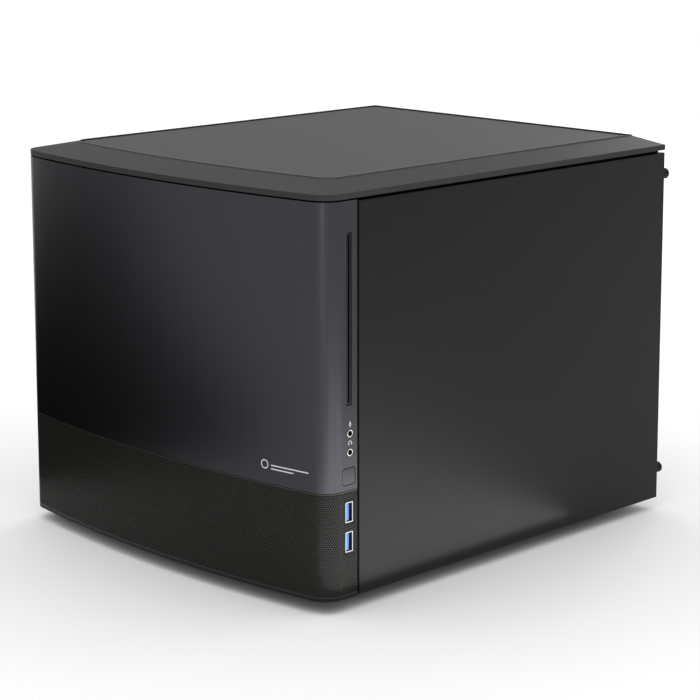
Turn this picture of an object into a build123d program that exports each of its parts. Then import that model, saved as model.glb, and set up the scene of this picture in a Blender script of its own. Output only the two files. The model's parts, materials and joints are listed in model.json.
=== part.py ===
from build123d import *

import math
import os

# Desktop computer in a cube case of two chambers side by side. Units are millimetres.
# +Z is up, -Y is the bowed front, +X is the side that carries the front ports.
# The origin is on the surface it stands on, under the middle of its outer box.
# The chamber at -X holds the motherboard and its cooler, and the chamber at +X the power
# supply and the hanging drive cages.

# ---- Outside
width = 344.0
depth = 389.0  # front of the bow to the rear edge of the side panels
height = 307.0
foot_height = 10.0  # floor to the bottom edge of the case
thumb_head_length = 8.5
thumb_stand_off = 0.5  # head to the rear face
bow_radius = 1020.0
corner_radius = 17.0

half_width = width / 2
y_rear = (depth - thumb_head_length - thumb_stand_off) / 2
y_apex = y_rear - depth

# ---- Sheet metal
skin = 0.8  # side panels
sheet = 1.0  # chassis
panel_gap = 0.4  # between a panel and the chassis
hem_width = 10.0
flange = 8.0
rear_flange = 11.0  # rear flange of a side panel, which takes the thumbscrews
panel_height = 284.5

bottom = foot_height
panel_top = bottom + panel_height
chassis_half = half_width - 2 * skin - panel_gap
floor_bottom = bottom + skin + panel_gap
floor_top = floor_bottom + sheet
roof_top = panel_top - skin - 1.7
roof_bottom = roof_top - sheet
rear_out = y_rear - skin - 0.2  # outer face of the chassis rear
rear_in = rear_out - sheet

# ---- Front
bezel_depth = 43.8
seam = 2.0  # between the bezel's wing and the side panel
bezel_back = y_apex + bezel_depth
panel_front = bezel_back + seam
plate_out = panel_front + 3.2  # front face of the steel front plate
plate_in = plate_out + sheet
face_skin = 1.0  # brushed aluminium sheet
carrier_wall = 2.5
grille_top = bottom + 79.0
grille_sheet = face_skin
grille_rim = 2.4  # plastic rim under the grille
front_line = 0.4  # seam between the grille and the brushed sheet
rim_width = 16.0
rim_corner = 6.0
rail_thickness = 2.8
bezel_top = panel_top + 1.0
rail_top = bezel_top - 1.2

# ---- Top cover
cover_gap = 2.2
lip_height = 4.2
cover_wall = 2.5
border_side = 28.0
border_front = 33.0
border_rear = 9.4
mesh_corner = 13.0
mesh_sheet = 1.0
mesh_drop = 0.5  # mesh below the rim of the cover
mesh_clearance = 0.4
ledge = 4.0
lip_bottom = panel_top + cover_gap
lip_top = lip_bottom + lip_height

# ---- Divider and motherboard
tray_x = 9.0  # face of the divider on the motherboard side
standoff_height = 6.5
board_thickness = 1.6
board_size = 244.0
board_top = roof_bottom - 7.0
board_rear = rear_in - 1.0
board_face = tray_x - standoff_height - board_thickness  # side that carries the parts
aperture = (44.45, 158.75)
aperture_top = board_top - 4.75
slot_pitch = 20.32
slot_count = 5
lowest_slot = floor_top + 12.6
bracket = (112.0, 18.4)

# ---- Fans
fan_size = 120.0
fan_depth = 25.0
fan_pitch = 105.0
fan_bore = 57.0
fan_hole = 2.2
hub_radius = 20.0
blade_count = 7
blade_tip = 54.0
left_fan_x = (tray_x - chassis_half) / 2
right_fan_x = (tray_x + sheet + chassis_half) / 2
low_fan_z = floor_top + 66.0
high_fan_z = low_fan_z + 128.0
rear_left_fan = (-104.0, 214.0)
rear_right_fan = (right_fan_x, 204.0)

# ---- Power supply
psu_size = (150.0, 150.0, 86.0)
psu_lift = 3.0
psu_x = tray_x + sheet + 2.5
psu_wall = 1.0
psu_low = floor_top + psu_lift
psu_fan = (psu_x + 63.0, rear_in - 79.0)  # its centre seen from above

# ---- Ports on the bezel's right wing, as centres along Y and Z
slot_size = (4.6, 122.4)
slot_centre = (y_apex + 35.7, bottom + 202.0)
jack_y = y_apex + 36.7
jack_heights = (bottom + 120.3, bottom + 106.6)
button_size = (12.6, 12.2)
button_centre = (y_apex + 35.4, bottom + 89.4)
button_travel = 1.2
usb_size = (7.0, 14.6)
usb_y = y_apex + 35.7
usb_heights = (bottom + 63.2, bottom + 41.5)
collar_size = (9.8, 17.0)  # black collar round each USB socket
collar_corner = 1.6
wing_x = half_width
board_x = wing_x - 17.0  # port board's outer face
play = 0.3  # around a piece that moves or clips in

# ---- Fasteners and feet
thumb_radius = 4.3
thumb_x = half_width - 6.5
thumb_heights = (bottom + 23.0, bottom + 266.5)
thread_radius = 1.75
foot_radius = 11.0
foot_inset = 38.0  # from the side of the case
foot_places = [(side * (half_width - foot_inset), y)
               for side in (-1, 1) for y in (plate_in + 19, y_rear - 40)]


def block(low, high, mode=Mode.ADD):
    """A box between two corners, in the part being built."""
    with Locations([tuple((a + b) / 2 for a, b in zip(low, high))]):
        Box(*(b - a for a, b in zip(low, high)), mode=mode)


def case_plan(z, inset, back, corner=None, front_inset=None):
    """Plan of the bowed front, inset all round and closed at y = back, drawn at height z."""
    half = half_width - inset
    radius = bow_radius - (inset if front_inset is None else front_inset)
    turn = corner_radius - inset if corner is None else corner
    bow_y = y_apex + bow_radius
    side_y = bow_y - math.sqrt((radius - turn) ** 2 - (half - turn) ** 2)
    lean = math.atan2(side_y - bow_y, half - turn)
    centre_x = half - turn
    bend = [(centre_x + turn * math.cos(a), side_y + turn * math.sin(a)) for a in (0.0, lean / 2, lean)]
    with BuildSketch(Plane.XY.offset(z)) as plan:
        with BuildLine():
            Line((half, back), bend[0])
            ThreePointArc(*bend)
            ThreePointArc(bend[2], (0, bow_y - radius), (-bend[2][0], bend[2][1]))
            ThreePointArc(*[(-x, y) for x, y in reversed(bend)])
            Line((-half, bend[0][1]), (-half, back))
            Line((-half, back), (half, back))
        make_face()
    return plan.sketch


def mesh_plan(z, grow):
    """Outline of the opening in the top cover, grown all round, drawn at height z."""
    back = y_rear - border_rear + grow
    return case_plan(z, border_side - grow, back, mesh_corner + grow, border_front - grow)


def comb_points(reach, pitch):
    """Centres of a honeycomb inside a circle of radius reach."""
    row = pitch * math.sqrt(3) / 2
    count = int(reach / row) + 1
    found = []
    for j in range(-count, count + 1):
        for i in range(-count, count + 1):
            x, y = (i + 0.5 * (j % 2)) * pitch, j * row
            if math.hypot(x, y) + pitch / 2 <= reach:
                found.append((x, y))
    return found


def comb_cut(centres, pitch, flats):
    """A honeycomb of holes over each fan opening, cut from the sketch being drawn."""
    places = [(across + x, up + y) for across, up in centres for x, y in comb_points(fan_bore, pitch)]
    with Locations(*places):
        RegularPolygon(flats / 2, 6, major_radius=False, rotation=30, mode=Mode.SUBTRACT)


# ================= Chassis =================

vent_slots = 9
vent_pitch = 11.0
vent_length = 94.0
vent_width = 6.5
filter_x = (psu_x + 4.0, psu_x + 106.0)
filter_y = (rear_in - 164.0, rear_out + 0.4)
filter_z = (floor_bottom - 2.4, floor_bottom - 0.4)
rail = 1.2

with BuildPart() as base_pan:
    block((-chassis_half, plate_out, floor_bottom), (chassis_half, rear_out, floor_top))
    for side in (-1, 1):
        edge = side * chassis_half
        inner = side * (chassis_half - sheet)
        block((min(edge, inner), plate_in, floor_top), (max(edge, inner), rear_in, floor_top + 14))
    # Two ridges carry the power supply clear of its fan guard.
    for y in (rear_in - psu_size[1] + 2, rear_in - 12):
        block((psu_x + 4, y, floor_top), (psu_x + psu_size[0] - 4, y + 7, psu_low))
    # Rails under the floor hold the power supply's dust filter.
    for x, side in ((filter_x[0] - play, -1), (filter_x[1] + play, 1)):
        block((min(x, x + side * rail), filter_y[0], filter_z[0] - play - rail),
              (max(x, x + side * rail), rear_out, floor_bottom))
        block((min(x - side * 3, x), filter_y[0], filter_z[0] - play - rail),
              (max(x - side * 3, x), rear_out, filter_z[0] - play))
    with BuildSketch(Plane.XY.offset(floor_top)) as vents:
        with Locations((sum(filter_x) / 2, psu_fan[1])):
            with GridLocations(1, vent_pitch, 1, vent_slots):
                SlotOverall(vent_length, vent_width)
        with Locations((left_fan_x, 20)):
            with GridLocations(1, vent_pitch, 1, vent_slots):
                SlotOverall(vent_length, vent_width)
    extrude(amount=-sheet, mode=Mode.SUBTRACT)
    with Locations(*[(x, y, floor_top) for x, y in foot_places]):
        Hole(thread_radius + 0.25, depth=sheet)
base_pan.part.label = "base_pan"

psu_window = (142.0, 78.0)
psu_centre = (psu_x + psu_size[0] / 2, psu_low + psu_size[2] / 2)
psu_screws = [(psu_centre[0] + x, psu_centre[1] + z)
              for x, z in ((-69.0, 37.0), (69.0, 37.0), (-69.0, -27.0), (45.0, -37.0))]
slot_heights = [lowest_slot + i * slot_pitch for i in range(slot_count)]
bracket_x = (board_face - 4.0 - bracket[0], board_face - 4.0)
bracket_screw_x = bracket_x[0] + 4.0
fan_switch = (right_fan_x, roof_bottom - 12.0)
fan_switch_slot = (12.0, 3.6)
comb_pitch = 12.0
comb_flats = 10.0
wide_pitch = 15.5  # honeycomb of the front plate and the roof
wide_flats = 13.5

with BuildPart() as rear_panel:
    with BuildSketch(Plane.XZ.offset(-rear_out)) as back:
        with Locations((0, (floor_top + roof_bottom) / 2)):
            Rectangle(2 * chassis_half, roof_bottom - floor_top)
        with Locations((board_face + 2.0 - aperture[0] / 2, aperture_top - aperture[1] / 2)):
            Rectangle(*aperture, mode=Mode.SUBTRACT)
        for z in slot_heights:
            with Locations((sum(bracket_x) / 2 + 3, z)):
                Rectangle(bracket[0] - 14, bracket[1] - 4.4, mode=Mode.SUBTRACT)
            with Locations((bracket_screw_x, z)):
                Circle(thread_radius + 0.05, mode=Mode.SUBTRACT)
        comb_cut((rear_left_fan, rear_right_fan), comb_pitch, comb_flats)
        with Locations(rear_left_fan, rear_right_fan):
            with GridLocations(fan_pitch, fan_pitch, 2, 2):
                Circle(fan_hole, mode=Mode.SUBTRACT)
        with Locations(psu_centre):
            RectangleRounded(*psu_window, 3, mode=Mode.SUBTRACT)
        with Locations(*psu_screws):
            Circle(3.6)
            Circle(thread_radius + 0.25, mode=Mode.SUBTRACT)
        with Locations(*[(side * thumb_x, z) for side in (-1, 1) for z in thumb_heights]):
            Circle(thread_radius + 0.05, mode=Mode.SUBTRACT)
        with Locations(fan_switch):
            Rectangle(*fan_switch_slot, mode=Mode.SUBTRACT)
    extrude(amount=sheet)
    for side in (-1, 1):
        edges = sorted((side * chassis_half, side * (chassis_half - sheet)))
        block((edges[0], rear_in - 12, floor_top + 14), (edges[1], rear_in, roof_bottom))
rear_panel.part.label = "rear_panel"

front_fans = [(x, z) for x in (left_fan_x, right_fan_x) for z in (low_fan_z, high_fan_z)]
clip_radius = 2.6
clip_inset = 15.0  # from the side of the case
clip_places = [(side * (half_width - clip_inset), z)
               for side in (-1, 1) for z in (floor_top + 12, 140.0, roof_bottom - 10)]

with BuildPart() as front_plate:
    with BuildSketch(Plane.XZ.offset(-plate_out)):
        with Locations((0, (floor_top + roof_bottom) / 2)):
            Rectangle(2 * chassis_half, roof_bottom - floor_top)
        with Locations(*front_fans):
            with GridLocations(fan_pitch, fan_pitch, 2, 2):
                Circle(fan_hole, mode=Mode.SUBTRACT)
        comb_cut(front_fans, wide_pitch, wide_flats)
        with Locations(*clip_places):
            Circle(clip_radius + play, mode=Mode.SUBTRACT)
    extrude(amount=-sheet)
    for side in (-1, 1):
        edges = sorted((side * chassis_half, side * (chassis_half - sheet)))
        block((edges[0], plate_in, floor_top + 14), (edges[1], plate_in + 12, roof_bottom))
front_plate.part.label = "front_plate"

roof_fans = [(x, y) for x in (left_fan_x, right_fan_x) for y in (-78.0, 62.0)]
peg_radius = 2.4
peg_inset = 16.0  # from the side of the case
peg_places = [(side * (half_width - peg_inset), y)
              for side in (-1, 1) for y in (plate_in + 14, 20.0, rear_in - 20)]

with BuildPart() as top_plate:
    with BuildSketch(Plane.XY.offset(roof_bottom)):
        with Locations((0, (plate_out + rear_out) / 2)):
            Rectangle(2 * chassis_half, rear_out - plate_out)
        with Locations(*roof_fans):
            with GridLocations(fan_pitch, fan_pitch, 2, 2):
                Circle(fan_hole, mode=Mode.SUBTRACT)
        comb_cut(roof_fans, wide_pitch, wide_flats)
        with Locations(*peg_places):
            Circle(peg_radius + play, mode=Mode.SUBTRACT)
    extrude(amount=sheet)
top_plate.part.label = "top_plate"

board_front = board_rear - board_size
board_low = board_top - board_size
board_holes = [(board_rear - back, board_top - drop)
               for back in (10.2, 165.1, 237.6) for drop in (6.4, 163.8, 237.6)]
cpu_place = (board_rear - 85.0, board_top - 79.0)
standoff_radius = 2.6

with BuildPart() as motherboard_tray:
    with BuildSketch(Plane.YZ.offset(tray_x)):
        with Locations(((plate_in + rear_in) / 2, (floor_top + roof_bottom) / 2)):
            Rectangle(rear_in - plate_in, roof_bottom - floor_top)
        with Locations(cpu_place):
            RectangleRounded(96, 110, 6, mode=Mode.SUBTRACT)
        with Locations((board_front - 24, board_top - 60), (board_front - 24, board_low + 60)):
            SlotOverall(64, 26, rotation=90, mode=Mode.SUBTRACT)
        with Locations(*board_holes):
            Circle(1.6, mode=Mode.SUBTRACT)
    extrude(amount=sheet)
motherboard_tray.part.label = "motherboard_tray"


# ================= Side panels =================


def side_panel(side):
    """A steel side panel with flanged edges, for the side at +X or -X."""
    outer = side * half_width
    inner = side * (half_width - skin)
    lip = side * (half_width - flange)
    hem = side * (half_width - 2 * skin)
    rear_lip = side * (half_width - rear_flange)
    with BuildPart() as panel:
        # Face, lower flange, upper flange, front hem and rear flange.
        for start, stop, front, back, low, high in (
            (outer, inner, panel_front, y_rear, bottom, panel_top),
            (inner, lip, panel_front, y_rear, bottom, bottom + skin),
            (inner, lip, panel_front, y_rear, panel_top - skin, panel_top),
            (inner, hem, panel_front, panel_front + hem_width, bottom + skin, panel_top - skin),
            (inner, rear_lip, y_rear - skin, y_rear, bottom + skin, panel_top - skin),
        ):
            block((min(start, stop), front, low), (max(start, stop), back, high))
        with BuildSketch(Plane.XZ.offset(-y_rear)):
            with Locations(*[(side * thumb_x, z) for z in thumb_heights]):
                Circle(thread_radius + 0.6)
        extrude(amount=skin, mode=Mode.SUBTRACT)
        bends = panel.edges().filter_by(Axis.Y).group_by(Axis.X)[-1 if side > 0 else 0]
        ends = panel.edges().filter_by(Axis.Z).group_by(Axis.X)[-1 if side > 0 else 0]
        fillet(bends + ends, radius=1.0)
    return panel


left_side_panel = side_panel(-1)
left_side_panel.part.label = "left_side_panel"
right_side_panel = side_panel(1)
right_side_panel.part.label = "right_side_panel"


def thumbscrew(side, z):
    """A knurled thumbscrew with a cross slot, in the rear flange of a side panel."""
    head_y = y_rear + thumb_stand_off
    with BuildPart() as screw:
        with BuildSketch(Plane.XZ.offset(-head_y)):
            with Locations((side * thumb_x, z)):
                Circle(thumb_radius)
                with PolarLocations(thumb_radius, 16):
                    Circle(0.45, mode=Mode.SUBTRACT)
        extrude(amount=-thumb_head_length)
        with BuildSketch(Plane.XZ.offset(-head_y - thumb_head_length)):
            with Locations((side * thumb_x, z)):
                Rectangle(4.6, 0.9)
                Rectangle(0.9, 4.6)
        extrude(amount=1.6, mode=Mode.SUBTRACT)
        with BuildSketch(Plane.XZ.offset(-head_y)):
            with Locations((side * thumb_x, z)):
                Circle(thread_radius)
        extrude(amount=11.0)
        with BuildSketch(Plane.XZ.offset(-head_y)):
            with Locations((side * thumb_x, z)):
                Circle(3.2)
        extrude(amount=thumb_stand_off)
    return screw


thumbscrews = {}
for side, side_name in ((-1, "left"), (1, "right")):
    for z, height_name in zip(thumb_heights, ("lower", "upper")):
        screw = thumbscrew(side, z)
        screw.part.label = f"thumbscrew_{height_name}_{side_name}"
        thumbscrews[screw.part.label] = screw


# ================= Front bezel =================

carrier_out = face_skin
carrier_in = face_skin + carrier_wall
window = (31.0, 27.0)  # one opening between the ribs behind the grille
window_pitch = (35.0, 31.0)
window_z = bottom + 42.0


def wing_hole(size, centre, reach=6.0):
    """A rectangular hole through the right wing, cut from the part being built."""
    block((wing_x - reach, centre[0] - size[0] / 2, centre[1] - size[1] / 2),
          (wing_x + 1, centre[0] + size[0] / 2, centre[1] + size[1] / 2), Mode.SUBTRACT)


def jack_holes(radius, reach=6.0):
    """Round holes for the two audio jacks, cut from the part being built."""
    with Locations(*[Location((wing_x - reach / 2, jack_y, z), (0, 90, 0)) for z in jack_heights]):
        Cylinder(radius, reach + 2, mode=Mode.SUBTRACT)


board_edge = (y_apex + 28.5, bezel_back - 1.0)
post_heights = (sum(usb_heights) / 2, bottom + 127.0)

with BuildPart() as front_bezel:
    wall_low = bottom + grille_rim
    extrude(case_plan(wall_low, carrier_out, bezel_back), amount=rail_top - wall_low)
    extrude(case_plan(wall_low, carrier_in, bezel_back), amount=height, mode=Mode.SUBTRACT)
    # Rim under the grille and rail under the top cover.
    for low, high, inset in ((bottom, wall_low, 0.0), (rail_top - rail_thickness, rail_top, carrier_in)):
        extrude(case_plan(low, inset, bezel_back), amount=high - low)
        extrude(case_plan(low, rim_width, bezel_back, rim_corner), amount=high - low, mode=Mode.SUBTRACT)
    with BuildSketch(Plane.XZ.offset(-y_apex)):
        with Locations((0, window_z)):
            with GridLocations(*window_pitch, 8, 2):
                Rectangle(*window)
    extrude(amount=-bezel_depth, mode=Mode.SUBTRACT)
    wing_hole(slot_size, slot_centre)
    wing_hole((button_size[0] + 2 * play, button_size[1] + 2 * play), button_centre)
    for z in usb_heights:
        wing_hole((usb_size[0] + 1.0, usb_size[1] + 1.0), (usb_y, z))
    jack_holes(3.6)
    for z in post_heights:
        block((board_x, board_edge[0], z - 2.5), (half_width - carrier_in, board_edge[0] + 5, z + 2.5))
    # Pegs that snap into the steel front plate.
    for x, z in clip_places:
        side = 1 if x > 0 else -1
        block((min(x, side * (half_width - carrier_in)), bezel_back - 3, z - 2.6),
              (max(x, side * (half_width - carrier_in)), bezel_back, z + 2.6))
        with Locations(Location((x, (bezel_back + plate_in + 2) / 2, z), (90, 0, 0))):
            Cylinder(clip_radius, plate_in + 2 - bezel_back)
front_bezel.part.label = "front_bezel"

face_bottom = grille_top + front_line / 2
with BuildPart() as brushed_face:
    extrude(case_plan(face_bottom, 0.0, bezel_back), amount=bezel_top - face_bottom)
    extrude(case_plan(face_bottom, face_skin, bezel_back), amount=height, mode=Mode.SUBTRACT)
    wing_hole((slot_size[0] + 2 * play, slot_size[1] + 2 * play), slot_centre)
    with BuildSketch(Plane.YZ.offset(wing_x)):
        with Locations(button_centre):
            RectangleRounded(button_size[0] + 2 * play, button_size[1] + 2 * play, 2.8)
    extrude(amount=-3, mode=Mode.SUBTRACT)
    jack_holes(3.3)
brushed_face.part.label = "brushed_face"

with BuildPart() as front_grille:
    grille_low = bottom + grille_rim
    grille_high = grille_top - front_line / 2
    extrude(case_plan(grille_low, 0.0, bezel_back), amount=grille_high - grille_low)
    extrude(case_plan(grille_low, grille_sheet, bezel_back), amount=height, mode=Mode.SUBTRACT)
    for z in usb_heights:
        wing_hole((collar_size[0] + 0.2, collar_size[1] + 0.2), (usb_y, z))
front_grille.part.label = "front_grille"

with BuildPart() as usb_surround:
    with BuildSketch(Plane.YZ.offset(wing_x)):
        with Locations(*[(usb_y, z) for z in usb_heights]):
            RectangleRounded(*collar_size, collar_corner)
            RectangleRounded(usb_size[0] + 0.4, usb_size[1] + 0.4, 0.6, mode=Mode.SUBTRACT)
    extrude(amount=-face_skin)
usb_surround.part.label = "usb_surround"

with BuildPart() as slot_trim:
    with BuildSketch(Plane.YZ.offset(wing_x - 0.4)):
        with Locations(slot_centre):
            RectangleRounded(*slot_size, 0.8)
            SlotOverall(slot_size[1] - 3, 1.6, rotation=90, mode=Mode.SUBTRACT)
    extrude(amount=-2.6)
slot_trim.part.label = "slot_trim"

switch_top = wing_x - 7.5 - button_travel - play
with BuildPart() as power_button:
    with BuildSketch(Plane.YZ.offset(wing_x)):
        with Locations(button_centre):
            RectangleRounded(*button_size, 2.5)
    extrude(amount=-5.0)
    with BuildSketch(Plane.YZ.offset(wing_x - 5.0)):
        with Locations(button_centre):
            Rectangle(4, 4)
    extrude(amount=-2.5)
    fillet(power_button.faces().sort_by(Axis.X)[-1].edges(), radius=0.4)
power_button.part.label = "power_button"

with BuildPart() as io_board:
    block((board_x - 1.6, board_edge[0], bottom + 30), (board_x, board_edge[1], bottom + 130))
    # Tactile switch behind the power button.
    block((board_x, button_centre[0] - 3, button_centre[1] - 3),
          (switch_top - 2, button_centre[0] + 3, button_centre[1] + 3))
    with Locations(Location((switch_top - 1, button_centre[0], button_centre[1]), (0, 90, 0))):
        Cylinder(1.7, 2)
io_board.part.label = "io_board"

with BuildPart() as usb_shells:
    for z in usb_heights:
        block((board_x, usb_y - usb_size[0] / 2, z - usb_size[1] / 2),
              (wing_x, usb_y + usb_size[0] / 2, z + usb_size[1] / 2))
        block((board_x + 1, usb_y - usb_size[0] / 2 + 0.5, z - usb_size[1] / 2 + 0.5),
              (wing_x, usb_y + usb_size[0] / 2 - 0.5, z + usb_size[1] / 2 - 0.5), Mode.SUBTRACT)
usb_shells.part.label = "usb_shells"

tongue = (2.6, 12.0)
with BuildPart() as usb_tongues:
    for z in usb_heights:
        block((board_x + 1, usb_y - usb_size[0] / 2 + 1.2, z - tongue[1] / 2),
              (wing_x - 0.8, usb_y - usb_size[0] / 2 + 1.2 + tongue[0], z + tongue[1] / 2))
usb_tongues.part.label = "usb_tongues"

jack_bore = 1.8
jack_length = 13.0
with BuildPart() as audio_jacks:
    for z in jack_heights:
        with Locations(Location(((board_x + wing_x) / 2, jack_y, z), (0, 90, 0))):
            Cylinder(3.1, wing_x - board_x)
        with Locations(Location((wing_x - jack_length / 2, jack_y, z), (0, 90, 0))):
            Cylinder(jack_bore, jack_length, mode=Mode.SUBTRACT)
audio_jacks.part.label = "audio_jacks"

filter_size = (124.0, 252.0)
filter_frame = 5.0
filter_places = [(x, (low_fan_z + high_fan_z) / 2) for x in (left_fan_x, right_fan_x)]
with BuildPart() as front_filters:
    with BuildSketch(Plane.XZ.offset(-plate_out)):
        with Locations(*filter_places):
            RectangleRounded(*filter_size, 4)
            Rectangle(*(side - 2 * filter_frame for side in filter_size), mode=Mode.SUBTRACT)
            with GridLocations(1, filter_size[1] / 4, 1, 3):
                Rectangle(filter_size[0] - 6, 2.4)
            Rectangle(2.4, filter_size[1] - 6)
    extrude(amount=5.0)
    with BuildSketch(Plane.XZ.offset(-plate_out + 2.0)):
        with Locations(*filter_places):
            Rectangle(*(side - filter_frame for side in filter_size))
    extrude(amount=0.6)
front_filters.part.label = "front_filters"


# ================= Top cover =================

peg_top = lip_top + 2.0
skirt_bottom = bezel_top + 0.3
skirt_inset = 5.0
skirt_inner = skirt_inset + 1.5
with BuildPart() as top_cover:
    extrude(case_plan(lip_bottom, 0.0, y_rear), amount=lip_height)
    loft([case_plan(lip_top, 0.0, y_rear), mesh_plan(height, 0.0)], ruled=True)
    extrude(case_plan(lip_bottom, cover_wall, y_rear - cover_wall), amount=lip_height - cover_wall + 1.0,
            mode=Mode.SUBTRACT)
    under = [case_plan(lip_top - cover_wall + 1.0, cover_wall, y_rear - cover_wall),
             mesh_plan(height - cover_wall - mesh_drop, 1.0)]
    loft(under, ruled=True, mode=Mode.SUBTRACT)
    # Skirt that closes the gap over the side panels.
    with BuildSketch(Plane.XY.offset(skirt_bottom)):
        add(case_plan(0.0, skirt_inset, y_rear - skirt_inset))
        add(case_plan(0.0, skirt_inner, y_rear - skirt_inner), mode=Mode.SUBTRACT)
    extrude(amount=lip_top - skirt_bottom)
    extrude(mesh_plan(lip_bottom, -ledge), amount=height, mode=Mode.SUBTRACT)
    extrude(mesh_plan(height - mesh_drop - mesh_sheet, 0.0), amount=height, mode=Mode.SUBTRACT)
    for x, y in peg_places:
        with Locations((x, y, (roof_top + peg_top) / 2)):
            Cylinder(4.5, peg_top - roof_top)
        with Locations((x, y, roof_top - 2.5)):
            Cylinder(peg_radius, 5.0)
top_cover.part.label = "top_cover"

with BuildPart() as top_mesh:
    extrude(mesh_plan(height - mesh_drop - mesh_sheet, -mesh_clearance), amount=mesh_sheet)
top_mesh.part.label = "top_mesh"


# ================= Feet and dust filter =================

pad_depth = 1.2
with BuildPart() as feet:
    with BuildSketch(Plane.XY.offset(pad_depth)) as foot_base:
        with Locations(*foot_places):
            Circle(foot_radius)
    extrude(amount=floor_bottom - pad_depth, taper=4)
    with Locations(*[(x, y, pad_depth) for x, y in foot_places]):
        Cylinder(foot_radius - 3, 0.8, align=(Align.CENTER, Align.CENTER, Align.MIN), mode=Mode.SUBTRACT)
    with Locations(*[(x, y, floor_bottom) for x, y in foot_places]):
        Hole(thread_radius + 0.05, depth=6)
feet.part.label = "feet"

with BuildPart() as foot_pads:
    with Locations(*[(x, y, 0) for x, y in foot_places]):
        Cylinder(foot_radius - 3.2, pad_depth + 0.8, align=(Align.CENTER, Align.CENTER, Align.MIN))
    fillet(foot_pads.edges().group_by(Axis.Z)[0], radius=0.5)
foot_pads.part.label = "foot_pads"

with BuildPart() as psu_filter:
    block((filter_x[0], filter_y[0] + 1, filter_z[0]), (filter_x[1], filter_y[1], filter_z[1]))
    with BuildSketch(Plane.XY.offset(filter_z[1])):
        with Locations((sum(filter_x) / 2, (filter_y[0] + filter_y[1]) / 2)):
            with GridLocations(34.5, 38.0, 4, 4):
                Rectangle(32, 35.5)
    extrude(amount=-(filter_z[1] - filter_z[0]) + 0.6, mode=Mode.SUBTRACT)
    pull = sum(filter_x) / 2
    block((pull - 20, rear_out + 0.4, filter_z[0]), (pull + 20, rear_out + 3.5, filter_z[1] - 0.2))
psu_filter.part.label = "psu_filter"


# ================= Fans =================


def make_frame(size=fan_size, thick=fan_depth, pitch=fan_pitch, bore=fan_bore, hub=hub_radius + 1):
    """A square fan frame about the origin: air moves along +Z and the struts are at the outlet."""
    with BuildPart() as frame:
        with BuildSketch(Plane.XY.offset(-thick / 2)):
            RectangleRounded(size, size, 8)
            Circle(bore, mode=Mode.SUBTRACT)
            with GridLocations(pitch, pitch, 2, 2):
                Circle(fan_hole, mode=Mode.SUBTRACT)
        extrude(amount=thick)
        # Waist between the two flanges.
        with BuildSketch(Plane.XY.offset(-thick / 2 + 4)):
            Rectangle(size + 2, size + 2)
            Circle(size / 2 - 0.4, mode=Mode.SUBTRACT)
            with GridLocations(pitch, pitch, 2, 2):
                Circle(4.6, mode=Mode.SUBTRACT)
        extrude(amount=thick - 8, mode=Mode.SUBTRACT)
        with BuildSketch(Plane.XY.offset(thick / 2 - 3)):
            Circle(hub)
            with PolarLocations(0, 4, start_angle=45):
                with Locations((bore / 2 + 2, 0)):
                    Rectangle(bore + 2, 4.5)
        extrude(amount=3)
    return frame.part


def make_rotor(tip=blade_tip, thick=fan_depth, hub=hub_radius):
    """A fan rotor about the origin, to turn about Z: a cup-shaped hub with twisted blades."""
    low = -thick / 2 + 1.5
    span = thick - 6.0
    chord = span / math.cos(math.radians(40)) - 3
    with BuildPart() as blade:
        for reach, pitch_angle, width in ((hub - 0.8, 40, chord), (tip, 62, chord * 1.35)):
            with BuildSketch(Plane((reach, 0, low + span / 2), x_dir=(0, 1, 0), z_dir=(1, 0, 0))):
                Rectangle(1.8, width, rotation=pitch_angle)
        loft()
    with BuildPart() as rotor:
        with Locations((0, 0, low + span / 2)):
            Cylinder(hub, span)
        with PolarLocations(0, blade_count):
            add(blade.part)
    return rotor.part


along_y = (-90, 0, 0)
front_fan_y = plate_in + fan_depth / 2
rear_fan_y = rear_in - fan_depth / 2
case_fans = {
    "front_left": (left_fan_x, front_fan_y, high_fan_z),
    "front_right": (right_fan_x, front_fan_y, low_fan_z),
    "rear_left": (rear_left_fan[0], rear_fan_y, rear_left_fan[1]),
    "rear_right": (rear_right_fan[0], rear_fan_y, rear_right_fan[1]),
}

with BuildPart() as fan_screws:
    for place, (x, y, z) in case_fans.items():
        toward = -1 if place.startswith("front") else 1
        face = plate_out if toward < 0 else rear_out
        with BuildSketch(Plane.XZ.offset(-face)):
            with Locations((x, z)):
                with GridLocations(fan_pitch, fan_pitch, 2, 2):
                    Circle(3.6)
        extrude(amount=-toward * 1.2)
        with BuildSketch(Plane.XZ.offset(-face)):
            with Locations((x, z)):
                with GridLocations(fan_pitch, fan_pitch, 2, 2):
                    Circle(fan_hole - 0.1)
        extrude(amount=toward * 9.0)
fan_screws.part.label = "fan_screws"


# ================= Power supply =================

psu_end = rear_in - psu_size[1]
psu_top = psu_low + psu_size[2]
psu_right = psu_x + psu_size[0]
inlet_size = (27.0, 20.0)
inlet_centre = (psu_right - 24.0, psu_low + 22.0)
rocker_size = (9.0, 15.0)
rocker_centre = (inlet_centre[0] - 4.0, inlet_centre[1] + 31.0)
rocker_tilt = 8.0
comb_area = (psu_x + 10.0, psu_right - 48.0)
cable_exit = (psu_x + 26.0, psu_low + 52.0)

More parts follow.
